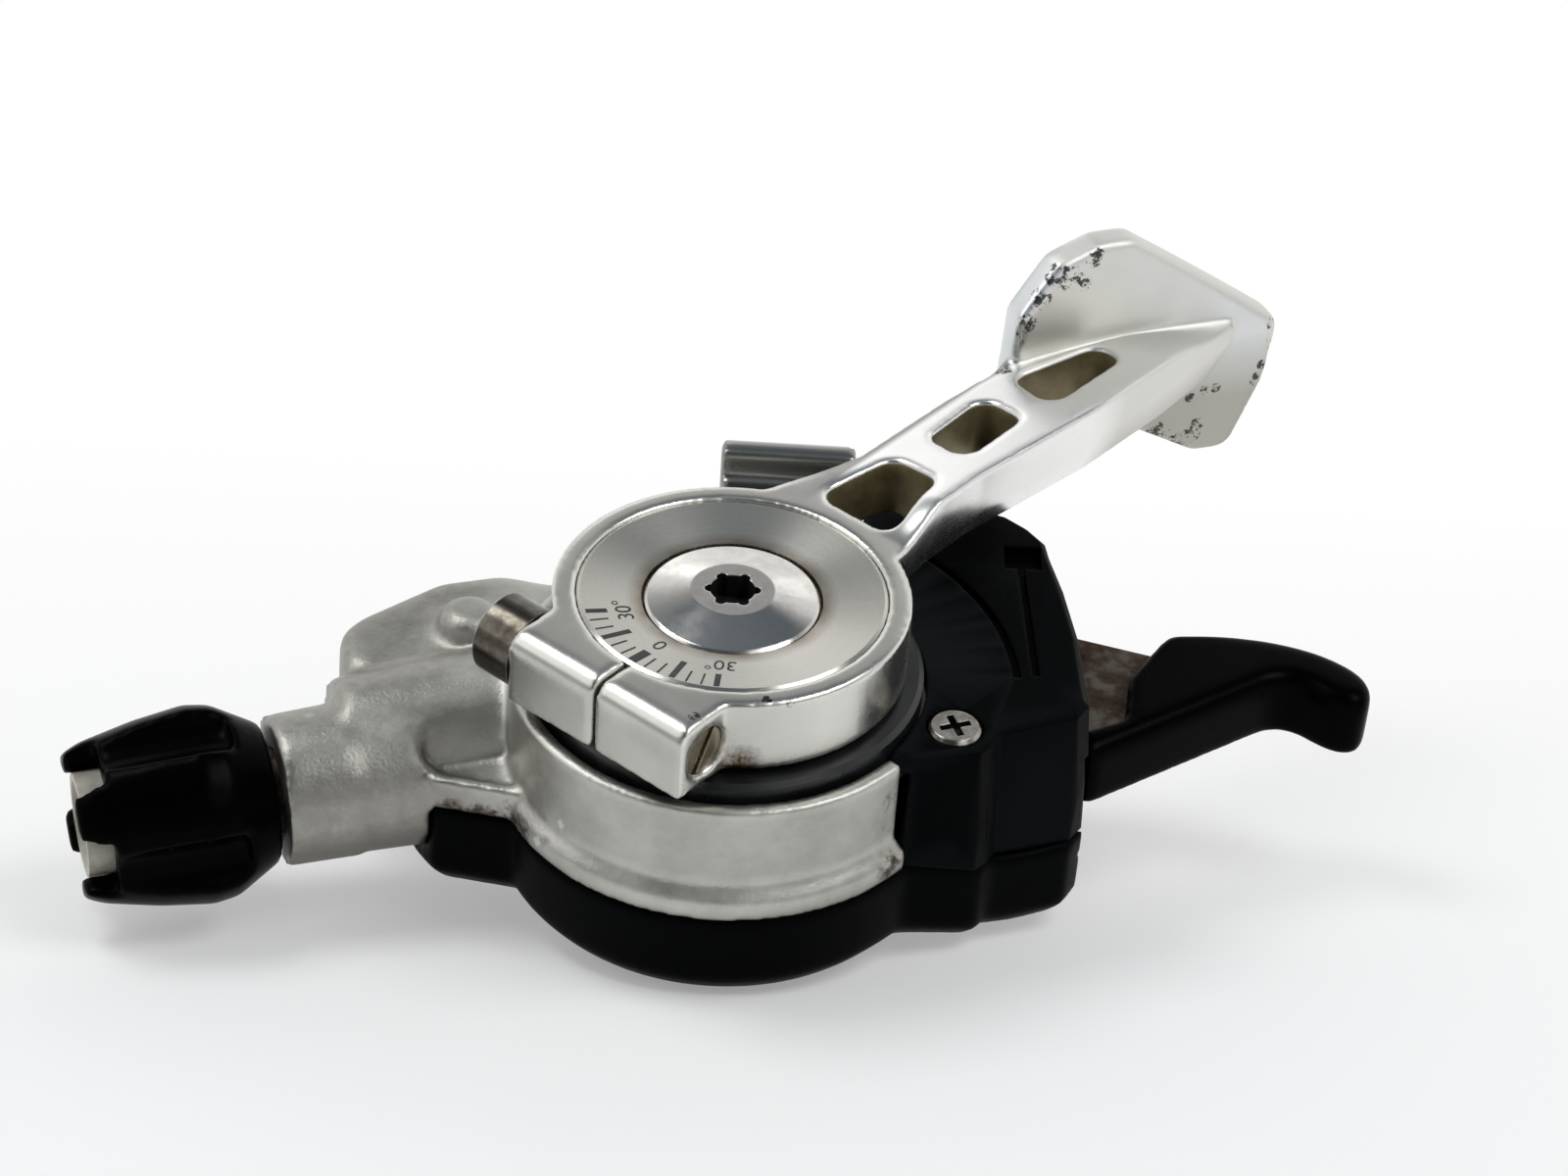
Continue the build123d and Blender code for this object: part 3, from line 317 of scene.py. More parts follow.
def forged_aluminium(name, chipped):
    """Polished forging: bright and satin, with fine pits and scuffed edges.

    The arm has a painted sheen, the brightest of all, and painted shade on its far edge; ring tops,
    left-facing sides and the paddle's lower part get painted shade, and the paddle's left strip a painted
    bluish-white reflection; the paddle is paler and rougher, and chipped adds dark chips in its coat.
    """
    material, tree, shader, place = new_material(name)
    pits = node(tree, "ShaderNodeTexNoise", {"Vector": place, "Scale": per_mm(0.7), "Detail": 7.0,
                                             "Roughness": 0.7})
    patch = node(tree, "ShaderNodeTexNoise", {"Vector": place, "Scale": per_mm(5.0), "Detail": 4.0})
    tone = node(tree, "ShaderNodeValToRGB", {"Fac": patch.outputs["Fac"]})
    ramp_stops(tone, [(0.30, linear("#D8D7D0")), (0.70, linear("#E3E2DC"))])
    dark_pits = node(tree, "ShaderNodeValToRGB", {"Fac": pits.outputs["Fac"]})
    ramp_stops(dark_pits, [(0.68, 0.0), (0.82, 0.12)])
    chips = node(tree, "ShaderNodeTexNoise", {"Vector": place, "Scale": per_mm(1.1), "Detail": 8.0,
                                              "Roughness": 0.75})
    chip_mask = node(tree, "ShaderNodeValToRGB", {"Fac": chips.outputs["Fac"]})
    ramp_stops(chip_mask, [(0.49, 0.0), (0.53, 1.0)])
    if chipped:
        wear = None
        for middle, reach in LEVER_CHIPS:
            spot = spot_mask(tree, place, middle, reach, chip_mask.outputs["Color"])
            hard = node(tree, "ShaderNodeMapRange", {"Value": spot, "From Min": 0.20, "From Max": 0.32})
            chip = hard.outputs["Result"]
            if wear is not None:
                chip = node(tree, "ShaderNodeMath", {0: wear, 1: chip}, operation="MAXIMUM").outputs["Value"]
            wear = chip
    else:
        edges = node(tree, "ShaderNodeNewGeometry").outputs["Pointiness"]
        worn = node(tree, "ShaderNodeValToRGB", {"Fac": edges})
        ramp_stops(worn, [(0.54, 0.0), (0.62, 1.0)])
        scuff = node(tree, "ShaderNodeMath", {0: worn.outputs["Color"], 1: chip_mask.outputs["Color"]},
                     operation="MULTIPLY")
        wear = node(tree, "ShaderNodeMath", {0: scuff.outputs["Value"], 1: 0.25},
                    operation="MULTIPLY").outputs["Value"]
    pitted = node(tree, "ShaderNodeMix", {"Factor": dark_pits.outputs["Color"], "A": tone.outputs["Color"],
                                          "B": linear("#8C8A83")}, data_type="RGBA")
    along = node(tree, "ShaderNodeVectorMath", {0: place, 1: tuple(ALONG)},
                 operation="DOT_PRODUCT").outputs["Value"]
    on_paddle = node(tree, "ShaderNodeMapRange",
                     {"Value": along, "From Min": ON_PADDLE[0] * MM, "From Max": ON_PADDLE[1] * MM})
    across = node(tree, "ShaderNodeVectorMath", {0: place, 1: tuple(ACROSS)},
                  operation="DOT_PRODUCT").outputs["Value"]
    on_arm = node(tree, "ShaderNodeMapRange", {"Value": along, "From Min": ON_ARM[0] * MM,
                                               "From Max": ON_ARM[1] * MM})
    before_face = node(tree, "ShaderNodeMapRange",
                       {"Value": along, "From Min": OFF_ARM[0] * MM, "From Max": OFF_ARM[1] * MM})
    arm = node(tree, "ShaderNodeMath", {0: on_arm.outputs["Result"], 1: before_face.outputs["Result"]},
               operation="MULTIPLY")
    facing = node(tree, "ShaderNodeTexCoord").outputs["Normal"]
    upward = node(tree, "ShaderNodeSeparateXYZ", {"Vector": facing}).outputs["Z"]
    # Painted shade: flat faces on top of the ring are painted a darker grey
    flat_top = node(tree, "ShaderNodeMapRange", {"Value": upward, "From Min": 0.85, "From Max": 0.98,
                                                 "To Min": 0.0, "To Max": 0.42})
    off_arm = node(tree, "ShaderNodeMath", {0: 1.0, 1: on_arm.outputs["Result"]}, operation="SUBTRACT")
    ring_top_shade = node(tree, "ShaderNodeMath", {0: flat_top.outputs["Result"], 1: off_arm.outputs["Value"]},
                    operation="MULTIPLY")
    top_shade_and_collar_grey = node(tree, "ShaderNodeMix", {"Factor": ring_top_shade.outputs["Value"],
                                           "A": pitted.outputs["Result"], "B": linear("#B4B3AC")},
                   data_type="RGBA")
    # Painted sheen: the arm is painted near white
    rubbed_and_sheen = node(tree, "ShaderNodeMix", {"Factor": on_arm.outputs["Result"],
                                          "A": top_shade_and_collar_grey.outputs["Result"], "B": linear("#F2F2F0")},
                  data_type="RGBA")
    paled = node(tree, "ShaderNodeMix", {"Factor": on_paddle.outputs["Result"],
                                         "A": rubbed_and_sheen.outputs["Result"], "B": linear("#E2E1DC")},
                 data_type="RGBA")
    # Painted shade: a dark grey strip along the arm's far edge
    far_edge = node(tree, "ShaderNodeMapRange",
                    {"Value": across, "From Min": FAR_EDGE[0] * MM, "From Max": FAR_EDGE[1] * MM,
                     "To Min": 0.0, "To Max": 0.85})
    far_edge_shade = node(tree, "ShaderNodeMath", {0: arm.outputs["Value"], 1: far_edge.outputs["Result"]},
                    operation="MULTIPLY")
    far_edge_shaded = node(tree, "ShaderNodeMix", {"Factor": far_edge_shade.outputs["Value"], "A": paled.outputs["Result"],
                                          "B": linear("#777873")}, data_type="RGBA")
    # Painted shade: faces turned to the left are painted darker grey, broken up by the patch noise
    turned_left = node(tree, "ShaderNodeVectorMath", {0: facing, 1: tuple(-ALONG)},
                       operation="DOT_PRODUCT").outputs["Value"]
    on_side = node(tree, "ShaderNodeMapRange", {"Value": turned_left, "From Min": 0.35, "From Max": 0.75,
                                                "To Min": 0.0, "To Max": 0.8})
    left_side_shade = node(tree, "ShaderNodeMath", {0: on_side.outputs["Result"], 1: patch.outputs["Fac"]},
                  operation="MULTIPLY")
    left_side_shaded = node(tree, "ShaderNodeMix", {"Factor": left_side_shade.outputs["Value"], "A": far_edge_shaded.outputs["Result"],
                                         "B": linear("#868782")}, data_type="RGBA")
    # Painted reflection: the left-facing strip of the paddle is painted bluish white
    paddle_strip_reflection = node(tree, "ShaderNodeMath", {0: on_side.outputs["Result"], 1: on_paddle.outputs["Result"]},
                 operation="MULTIPLY")
    paddle_strip_reflected = node(tree, "ShaderNodeMix", {"Factor": paddle_strip_reflection.outputs["Value"], "A": left_side_shaded.outputs["Result"],
                                            "B": linear("#EEF2F5")}, data_type="RGBA")
    # Painted shade: the paddle darkens towards its lower part
    height = node(tree, "ShaderNodeSeparateXYZ", {"Vector": place}).outputs["Z"]
    low = node(tree, "ShaderNodeMapRange", {"Value": height, "From Min": PADDLE_LOW[0] * MM,
                                            "From Max": PADDLE_LOW[1] * MM, "To Min": 0.0, "To Max": 0.75})
    dull_tint_and_low_shade = node(tree, "ShaderNodeMath", {0: on_paddle.outputs["Result"], 1: low.outputs["Result"]},
                operation="MULTIPLY")
    low_shaded = node(tree, "ShaderNodeMix", {"Factor": dull_tint_and_low_shade.outputs["Value"], "A": paddle_strip_reflected.outputs["Result"],
                                          "B": linear("#A29E92")}, data_type="RGBA")
    grime = spot_mask(tree, place, *SCREW_GRIME, pits.outputs["Fac"])
    caked = node(tree, "ShaderNodeMapRange", {"Value": grime, "From Min": 0.12, "From Max": 0.40})
    stained = node(tree, "ShaderNodeMix", {"Factor": caked.outputs["Result"],
                                           "A": low_shaded.outputs["Result"], "B": linear("#4E3C22")},
                   data_type="RGBA")
    colour = node(tree, "ShaderNodeMix", {"Factor": wear, "A": stained.outputs["Result"],
                                          "B": linear("#4C4D4B")}, data_type="RGBA")
    open_face = node(tree, "ShaderNodeMath", {0: on_paddle.outputs["Result"], 1: on_side.outputs["Result"]},
                     operation="SUBTRACT", use_clamp=True)
    satin = node(tree, "ShaderNodeMapRange", {"Value": open_face.outputs["Value"], "To Min": 0.0,
                                              "To Max": 0.26})
    smooth = node(tree, "ShaderNodeMapRange", {"Value": patch.outputs["Fac"], "From Min": 0.3,
                                               "From Max": 0.7, "To Min": 0.25, "To Max": 0.30})
    rough = node(tree, "ShaderNodeMath", {0: smooth.outputs["Result"], 1: satin.outputs["Result"]},
                 operation="ADD")
    peen = node(tree, "ShaderNodeTexNoise", {"Vector": place, "Scale": per_mm(2.2), "Detail": 1.0})
    bump = node(tree, "ShaderNodeBump", {"Height": peen.outputs["Fac"], "Strength": 0.05,
                                         "Distance": 0.03 * MM})
    tree.links.new(colour.outputs["Result"], shader.inputs["Base Color"])
    tree.links.new(rough.outputs["Value"], shader.inputs["Roughness"])
    tree.links.new(bump.outputs["Normal"], shader.inputs["Normal"])
    shader.inputs["Metallic"].default_value = 1.0
    return material


def grimy_aluminium():
    """Inside walls of the lever windows: unpolished, with an olive-brown film of old grease."""
    material, tree, shader, place = new_material("greasy_forged_aluminium")
    film = node(tree, "ShaderNodeTexNoise", {"Vector": place, "Scale": per_mm(3.0), "Detail": 6.0})
    tone = node(tree, "ShaderNodeValToRGB", {"Fac": film.outputs["Fac"]})
    ramp_stops(tone, [(0.30, linear("#6E6342")), (0.70, linear("#A29778"))])
    tree.links.new(tone.outputs["Color"], shader.inputs["Base Color"])
    rough = node(tree, "ShaderNodeMapRange", {"Value": film.outputs["Fac"], "To Min": 0.4, "To Max": 0.6})
    tree.links.new(rough.outputs["Result"], shader.inputs["Roughness"])
    shader.inputs["Metallic"].default_value = 0.6
    return material


def turned_aluminium():
    """Lathe-turned face: fine rings that fan the light out, with a brown stain round the middle bolt."""
    material, tree, shader, place = new_material("turned_aluminium")
    flat = node(tree, "ShaderNodeVectorMath", {0: place, 1: (1.0, 1.0, 0.0)}, operation="MULTIPLY")
    radius = node(tree, "ShaderNodeVectorMath", {0: flat.outputs["Vector"]},
                  operation="LENGTH").outputs["Value"]
    ring_count = node(tree, "ShaderNodeMath", {0: radius, 1: per_mm(0.16)}, operation="MULTIPLY")
    rings = node(tree, "ShaderNodeTexNoise", {"W": ring_count.outputs["Value"], "Detail": 3.0},
                 noise_dimensions="1D")
    stain = node(tree, "ShaderNodeTexNoise", {"Vector": place, "Scale": per_mm(2.6), "Detail": 6.0})
    near_bolt = node(tree, "ShaderNodeMapRange",
                     {"Value": radius, "From Min": BOLT_STAIN[0] * MM, "From Max": BOLT_STAIN[1] * MM,
                      "To Min": 1.3, "To Max": 0.0})
    brown = node(tree, "ShaderNodeMath", {0: near_bolt.outputs["Result"], 1: stain.outputs["Fac"]},
                 operation="MULTIPLY")
    colour = node(tree, "ShaderNodeMix", {"Factor": brown.outputs["Value"], "A": linear("#D3D1C9"),
                                          "B": linear("#6A5334")}, data_type="RGBA")
    rough = node(tree, "ShaderNodeMapRange", {"Value": rings.outputs["Fac"], "From Min": 0.3,
                                              "From Max": 0.7, "To Min": 0.23, "To Max": 0.32})
    tangent = node(tree, "ShaderNodeTangent", direction_type="RADIAL", axis="Z")
    bump = node(tree, "ShaderNodeBump", {"Height": rings.outputs["Fac"], "Strength": 0.10,
                                         "Distance": 0.02 * MM})
    tree.links.new(colour.outputs["Result"], shader.inputs["Base Color"])
    tree.links.new(rough.outputs["Result"], shader.inputs["Roughness"])
    tree.links.new(bump.outputs["Normal"], shader.inputs["Normal"])
    tree.links.new(tangent.outputs["Tangent"], shader.inputs["Tangent"])
    shader.inputs["Metallic"].default_value = 1.0
    shader.inputs["Anisotropic"].default_value = 0.80
    shader.inputs["Anisotropic Rotation"].default_value = 0.25
    return material


def polished_steel(name, tint, dull_tint_and_low_shade, roughness):
    """Plated steel fastener: bright and smooth, cloudy where the plating has dulled."""
    material, tree, shader, place = new_material(name)
    cloud = node(tree, "ShaderNodeTexNoise", {"Vector": place, "Scale": per_mm(1.6), "Detail": 6.0,
                                              "Roughness": 0.65})
    tone = node(tree, "ShaderNodeValToRGB", {"Fac": cloud.outputs["Fac"]})
    ramp_stops(tone, [(0.35, linear(dull_tint_and_low_shade)), (0.60, linear(tint))])
    rough = node(tree, "ShaderNodeMapRange", {"Value": cloud.outputs["Fac"], "From Min": 0.3,
                                              "From Max": 0.7, "To Min": roughness * 1.3,
                                              "To Max": roughness * 0.75})
    edge = node(tree, "ShaderNodeBevel", {"Radius": 0.18 * MM}, samples=4)
    tree.links.new(tone.outputs["Color"], shader.inputs["Base Color"])
    tree.links.new(rough.outputs["Result"], shader.inputs["Roughness"])
    tree.links.new(edge.outputs["Normal"], shader.inputs["Normal"])
    shader.inputs["Metallic"].default_value = 1.0
    return material


def stamped_steel():
    """Stamped steel arm: dull grey with dark brown rust blooming over it."""
    material, tree, shader, place = new_material("rusting_stamped_steel")
    bloom = node(tree, "ShaderNodeTexNoise", {"Vector": place, "Scale": per_mm(4.0), "Detail": 8.0,
                                              "Roughness": 0.7})
    tone = node(tree, "ShaderNodeValToRGB", {"Fac": bloom.outputs["Fac"]})
    ramp_stops(tone, [(0.36, linear("#6B665E")), (0.47, linear("#3A2512")), (0.62, linear("#170D06"))])
    metal = node(tree, "ShaderNodeValToRGB", {"Fac": bloom.outputs["Fac"]})
    ramp_stops(metal, [(0.36, 0.9), (0.48, 0.35)])
    rough = node(tree, "ShaderNodeMapRange", {"Value": bloom.outputs["Fac"], "From Min": 0.4,
                                              "From Max": 0.6, "To Min": 0.42, "To Max": 0.80})
    bump = node(tree, "ShaderNodeBump", {"Height": bloom.outputs["Fac"], "Strength": 0.3,
                                         "Distance": 0.08 * MM})
    tree.links.new(tone.outputs["Color"], shader.inputs["Base Color"])
    tree.links.new(metal.outputs["Color"], shader.inputs["Metallic"])
    tree.links.new(rough.outputs["Result"], shader.inputs["Roughness"])
    tree.links.new(bump.outputs["Normal"], shader.inputs["Normal"])
    return material


def moulded_nylon(name, base, dusty, roughness, grain_mm, grain_depth, dust_amount):
    """Moulded black nylon: fine spark texture, with pale dust in small specks and paler rubbed edges."""
    material, tree, shader, place = new_material(name)
    grain = node(tree, "ShaderNodeTexNoise", {"Vector": place, "Scale": per_mm(grain_mm), "Detail": 2.0})
    dust = node(tree, "ShaderNodeTexNoise", {"Vector": place, "Scale": per_mm(1.4), "Detail": 10.0,
                                             "Roughness": 0.8})
    dust_mask = node(tree, "ShaderNodeValToRGB", {"Fac": dust.outputs["Fac"]})
    ramp_stops(dust_mask, [(0.62, 0.0), (0.80, dust_amount)])
    edges = node(tree, "ShaderNodeNewGeometry").outputs["Pointiness"]
    rubbed_and_sheen = node(tree, "ShaderNodeValToRGB", {"Fac": edges})
    ramp_stops(rubbed_and_sheen, [(0.54, 0.0), (0.64, 0.08)])
    pale = node(tree, "ShaderNodeMath", {0: dust_mask.outputs["Color"], 1: rubbed_and_sheen.outputs["Color"]},
                operation="MAXIMUM")
    colour = node(tree, "ShaderNodeMix", {"Factor": pale.outputs["Value"], "A": linear(base),
                                          "B": linear(dusty)}, data_type="RGBA")
    rough = node(tree, "ShaderNodeMapRange", {"Value": dust.outputs["Fac"], "From Min": 0.3,
                                              "From Max": 0.7, "To Min": roughness * 0.85,
                                              "To Max": roughness * 1.2})
    edge = node(tree, "ShaderNodeBevel", {"Radius": 0.45 * MM}, samples=6)
    bump = node(tree, "ShaderNodeBump", {"Height": grain.outputs["Fac"], "Strength": grain_depth,
                                         "Distance": 0.04 * MM, "Normal": edge.outputs["Normal"]})
    tree.links.new(colour.outputs["Result"], shader.inputs["Base Color"])
    tree.links.new(rough.outputs["Result"], shader.inputs["Roughness"])
    tree.links.new(bump.outputs["Normal"], shader.inputs["Normal"])
    shader.inputs["IOR"].default_value = 1.5
    shader.inputs["Specular IOR Level"].default_value = 0.022
    return material


def plain_plastic(name, tint, shade, roughness):
    """Smooth moulded plastic with a faint mottle."""
    material, tree, shader, place = new_material(name)
    mottle = node(tree, "ShaderNodeTexNoise", {"Vector": place, "Scale": per_mm(2.0), "Detail": 5.0})
    tone = node(tree, "ShaderNodeValToRGB", {"Fac": mottle.outputs["Fac"]})
    ramp_stops(tone, [(0.35, linear(shade)), (0.65, linear(tint))])
    rough = node(tree, "ShaderNodeMapRange", {"Value": mottle.outputs["Fac"], "From Min": 0.3,
                                              "From Max": 0.7, "To Min": roughness * 0.85,
                                              "To Max": roughness * 1.2})
    tree.links.new(tone.outputs["Color"], shader.inputs["Base Color"])
    tree.links.new(rough.outputs["Result"], shader.inputs["Roughness"])
    return material


def share_of(value, low, high):
    """How far a value has gone from low to high, nought to one, eased at both ends."""
    t = min(1.0, max(0.0, (value - low) / (high - low)))
    return t * t * (3.0 - 2.0 * t)


def wing_drop(point):
    """The right wing of the lid hangs lower than the round part, and the cover reaches down to it."""
    return Vector((0, 0, -WING_DROP * share_of(point.x, *WING_X) * (1.0 - share_of(point.z, *WING_Z))))


def cover_form(point):
    """The cover's rear corner reaches in behind the lever's root."""
    near_root = share_of(point.y, *CORNER_Y) * (1.0 - share_of(point.x, *CORNER_X))
    corner = near_root * share_of(point.z, *CORNER_Z)
    return wing_drop(point) + Vector((0, CORNER_REACH * corner, 0))


def lever_form(point):
    """The arm's top leans towards the far side, and the clamping slot of the ring is nearly closed."""
    u = point.dot(ALONG)
    n = point.dot(ACROSS)
    on_arm = share_of(u, *ARM_ROOT) * (1.0 - share_of(u, *ARM_END))
    on_top = share_of(point.z, *ARM_TOP_Z) * (1.0 - share_of(point.z, *ARM_CLEAR_Z))
    past_near = u - PADDLE_NEAR[0]
    paddle_face = PADDLE_NEAR[1] - PADDLE_SLOPE * past_near - PADDLE_BOW * past_near * (u - PADDLE_FAR_U)
    ahead_of_paddle = 1.0 - share_of(n - paddle_face, *PADDLE_BLEND) if u > PADDLE_FOOT else 1.0
    lift = Vector((0, 0, ARM_LEAN * (ARM_FAR_SIDE - n) * on_arm * on_top * ahead_of_paddle))
    pinch = 0.0
    if u < LUG_START:
        pinch = -math.copysign(SLOT_PINCH * (1.0 - share_of(abs(n), *SLOT_REACH)), n)
    return lift + ACROSS * pinch


def in_window(u, n, corners):
    """Whether a point lies inside a window of the arm or just outside its rim."""
    for (u0, n0), (u1, n1) in zip(corners, corners[1:] + corners[:1]):
        side = ((u1 - u0) * (n - n0) - (n1 - n0) * (u - u0)) / math.hypot(u1 - u0, n1 - n0)
        if side > WINDOW_RIM:
            return False
    return True


# Windows of the arm, each by its corners along and across the arm, in millimetres
WINDOWS = (((15.0, 3.5), (23.2, 1.9), (22.4, -3.3), (14.8, -4.4)),
           ((27.5, 1.6), (35.8, 2.0), (34.7, -3.0), (26.5, -3.1)),
           ((39.9, 1.9), (49.0, -0.7), (48.0, -3.9), (37.9, -3.7)))

# Places of the brown dirt on the casting and the chips on the paddle: middle and reach, in millimetres
CAST_STAINS = [((-21.8, -7.8, 8.6), 2.1), ((-20.0, -8.3, 8.6), 2.2), ((-18.4, -8.7, 8.6), 2.2),
               ((-17.0, -8.9, 9.2), 2.4), ((-16.0, -10.4, 9.4), 1.8), ((14.1, -12.0, 16.0), 1.7),
               ((14.3, -12.6, 12.8), 1.9), ((14.4, -13.0, 10.2), 2.3), ((-34.8, -7.7, 3.4), 2.2),
               ((-29.2, -7.4, 3.0), 2.2), ((-14.6, -13.3, 11.0), 1.6)]
LEVER_CHIPS = [((3.1, -13.5, 27.1), 0.6), ((5.0, -13.8, 27.0), 0.6), ((6.6, -13.3, 27.0), 0.5),
               ((-2.4, -16.0, 27.0), 0.7), ((28.1, 37.6, 34.8), 1.7), ((29.2, 38.3, 34.0), 1.2),
               ((26.8, 37.1, 35.4), 1.7), ((25.4, 36.2, 33.4), 1.5), ((24.4, 35.5, 31.2), 1.3),
               ((23.4, 34.9, 29.6), 1.4), ((22.6, 34.2, 27.6), 1.4), ((30.0, 38.8, 36.4), 1.3),
               ((47.7, 45.9, 26.3), 1.1), ((47.7, 45.8, 24.4), 1.0), ((47.4, 45.7, 21.9), 1.0),
               ((47.0, 45.5, 20.4), 1.1), ((37.8, 42.6, 16.2), 1.2), ((38.6, 43.0, 15.2), 1.3),
               ((39.6, 43.4, 14.5), 1.3), ((40.6, 43.5, 14.4), 1.3), ((41.4, 43.8, 15.0), 1.3),
               ((41.9, 44.0, 16.2), 1.0), ((42.0, 44.0, 19.8), 0.7), ((43.1, 44.3, 19.9), 0.7),
               ((40.8, 43.5, 19.2), 0.7)]

FINISH = {
    "cast_aluminium": cast_aluminium(),
    "forged_aluminium": forged_aluminium("polished_forged_aluminium", False),
    "turned_aluminium": turned_aluminium(),
    "polished_steel": polished_steel("nickel_plated_steel", "#B9B6AF", "#8B867C", 0.20),
    "stamped_steel": stamped_steel(),
    "spring_steel": polished_steel("blued_spring_steel", "#6E7078", "#55575E", 0.30),
    "bearing_bronze": polished_steel("sintered_bronze", "#B08A55", "#8E6C3F", 0.42),
    "black_plastic": moulded_nylon("spark_textured_black_nylon", "#020304", "#5E646A",
                                   0.40, 0.24, 0.14, 0.07),
    "gloss_black": moulded_nylon("smooth_black_nylon", "#020202", "#4A4D50", 0.26, 0.7, 0.05, 0.03),
    "white_plastic": plain_plastic("white_acetal", "#B5B2A6", "#969285", 0.38),
    "spool_plastic": plain_plastic("dark_acetal", "#34363A", "#2A2C30", 0.40),
}
chipped_lever = forged_aluminium("polished_forged_aluminium_chipped", True)
window_walls = grimy_aluminium()
# Painted shade for the sockets of the hub bolt and the cover screw: near black
socket_shade = plain_plastic("painted_black_socket_shade", "#0C0B09", "#050504", 0.55)
bright_steel = polished_steel("bright_nickel_plated_steel", "#E0DEDA", "#CFCCC6", 0.17)
dark_steel = polished_steel("dulled_nickel_plated_steel", "#66625A", "#453F37", 0.22)
brass_grey = polished_steel("yellowed_zinc_plated_steel", "#B5AD95", "#857B62", 0.30)
satin_black = plain_plastic("satin_black_acetal", "#17191B", "#101214", 0.32)

SLOT_OF = {entry["node"]: entry["material_slot"] for entry in frame["record"]["subparts"]}
NODE_FINISH = {"hub_bolt": bright_steel, "pinch_bolt": dark_steel, "drive_disc": satin_black}
BODY_OF = {name: obj["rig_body"] for name, obj in frame["nodes"].items()}
for name, obj in frame["nodes"].items():
    obj.data.materials.clear()
    obj.data.materials.append(NODE_FINISH.get(name, FINISH[SLOT_OF[name]]))

# Sockets of the hub bolt and the cover screw: painted shade, near black
for name, x, y, reach in SOCKETS:
    bolt = frame["nodes"][name]
    bolt.data.materials.append(socket_shade)
    bolt_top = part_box(name)[1].z
    for polygon in bolt.data.polygons:
        out = math.hypot(polygon.center.x - x * MM, polygon.center.y - y * MM)
        if out < reach * MM and polygon.center.z < bolt_top - SOCKET_TOP * MM:
            polygon.material_index = 1

# Slotted end of the pinch bolt, in the lug: yellowed plating
pinch = frame["nodes"]["pinch_bolt"]
pinch.data.materials.append(brass_grey)
pinch_end = min(vert.co.dot(ACROSS) for vert in pinch.data.vertices)
for polygon in pinch.data.polygons:
    if polygon.center.dot(ACROSS) < pinch_end + SLOTTED_END * MM:
        polygon.material_index = 1

# Voxel in millimetres and rounds of smoothing: castings and mouldings are rounder than the CAD edges
soften("main_housing", 0.33, 3, lambda p: p.x < SHOULDER_X and p.z > SHOULDER_Z, 12)
soften("lid", 0.42, 4, bend=wing_drop)
soften("side_housing", 0, 0, bend=cover_form)
soften("release_pad", 0.28, 25)
soften("bar_clamp", 0.36, 3)
soften("adjuster_knob", 0.26, 9)
lever = soften("thumb_lever", 0.27, 2, lambda p: abs(p.dot(ALONG) - RING_MID) > RING_R, 3, bend=lever_form)

# Window walls of the lever take the greasy finish
lever.data.materials.clear()
lever.data.materials.append(chipped_lever)
lever.data.materials.append(window_walls)
for polygon in lever.data.polygons:
    u = polygon.center.dot(ALONG) / MM
    n = polygon.center.dot(ACROSS) / MM
    below_top = polygon.center.z / MM < WINDOW_TOP_Z + lever_form(polygon.center / MM).z
    if below_top and abs(polygon.normal.z) < 0.6 and any(in_window(u, n, corners) for corners in WINDOWS):
        polygon.material_index = 1


def dish_z(radius):
    """Height of the dished dial face at a radius, in millimetres."""
    share = (radius - DISH_EYE_R) / (DISH_RIM_R - DISH_EYE_R)
    return DISH_EYE_Z + share * (DISH_RIM_Z - DISH_EYE_Z)


def dial_ticks():
    """Printed ticks: thin raised ink bars that follow the dish."""
    mesh = bpy.data.meshes.new("dial_ticks")
    shape = bmesh.new()
    for i in range(TICK_COUNT):
        offset = i - (TICK_COUNT - 1) // 2
        angle = math.radians(DIAL_MID_ANGLE + offset * TICK_STEP)
        inner, half = TICK_SHAPES.get(abs(offset), THIN_TICK)
        along = Vector((math.cos(angle), math.sin(angle), 0))
        across = Vector((-math.sin(angle), math.cos(angle), 0))
        corners = []
        for lift in (-PRINT_LIFT, PRINT_LIFT):
            outline = ((inner, -half), (TICK_OUTER_R, -half), (TICK_OUTER_R, half), (inner, half))
            for radius, side in outline:
                point = along * radius + across * side + Vector((0, 0, dish_z(radius) + lift))
                corners.append(shape.verts.new(point * MM))
        low, high = corners[:4], corners[4:]
        shape.faces.new(high)
        shape.faces.new(list(reversed(low)))
        for k in range(4):
            shape.faces.new((low[k], low[(k + 1) % 4], high[(k + 1) % 4], high[k]))
    shape.to_mesh(mesh)
    shape.free()
    obj = bpy.data.objects.new("dial_ticks", mesh)
    bpy.context.collection.objects.link(obj)
    return obj


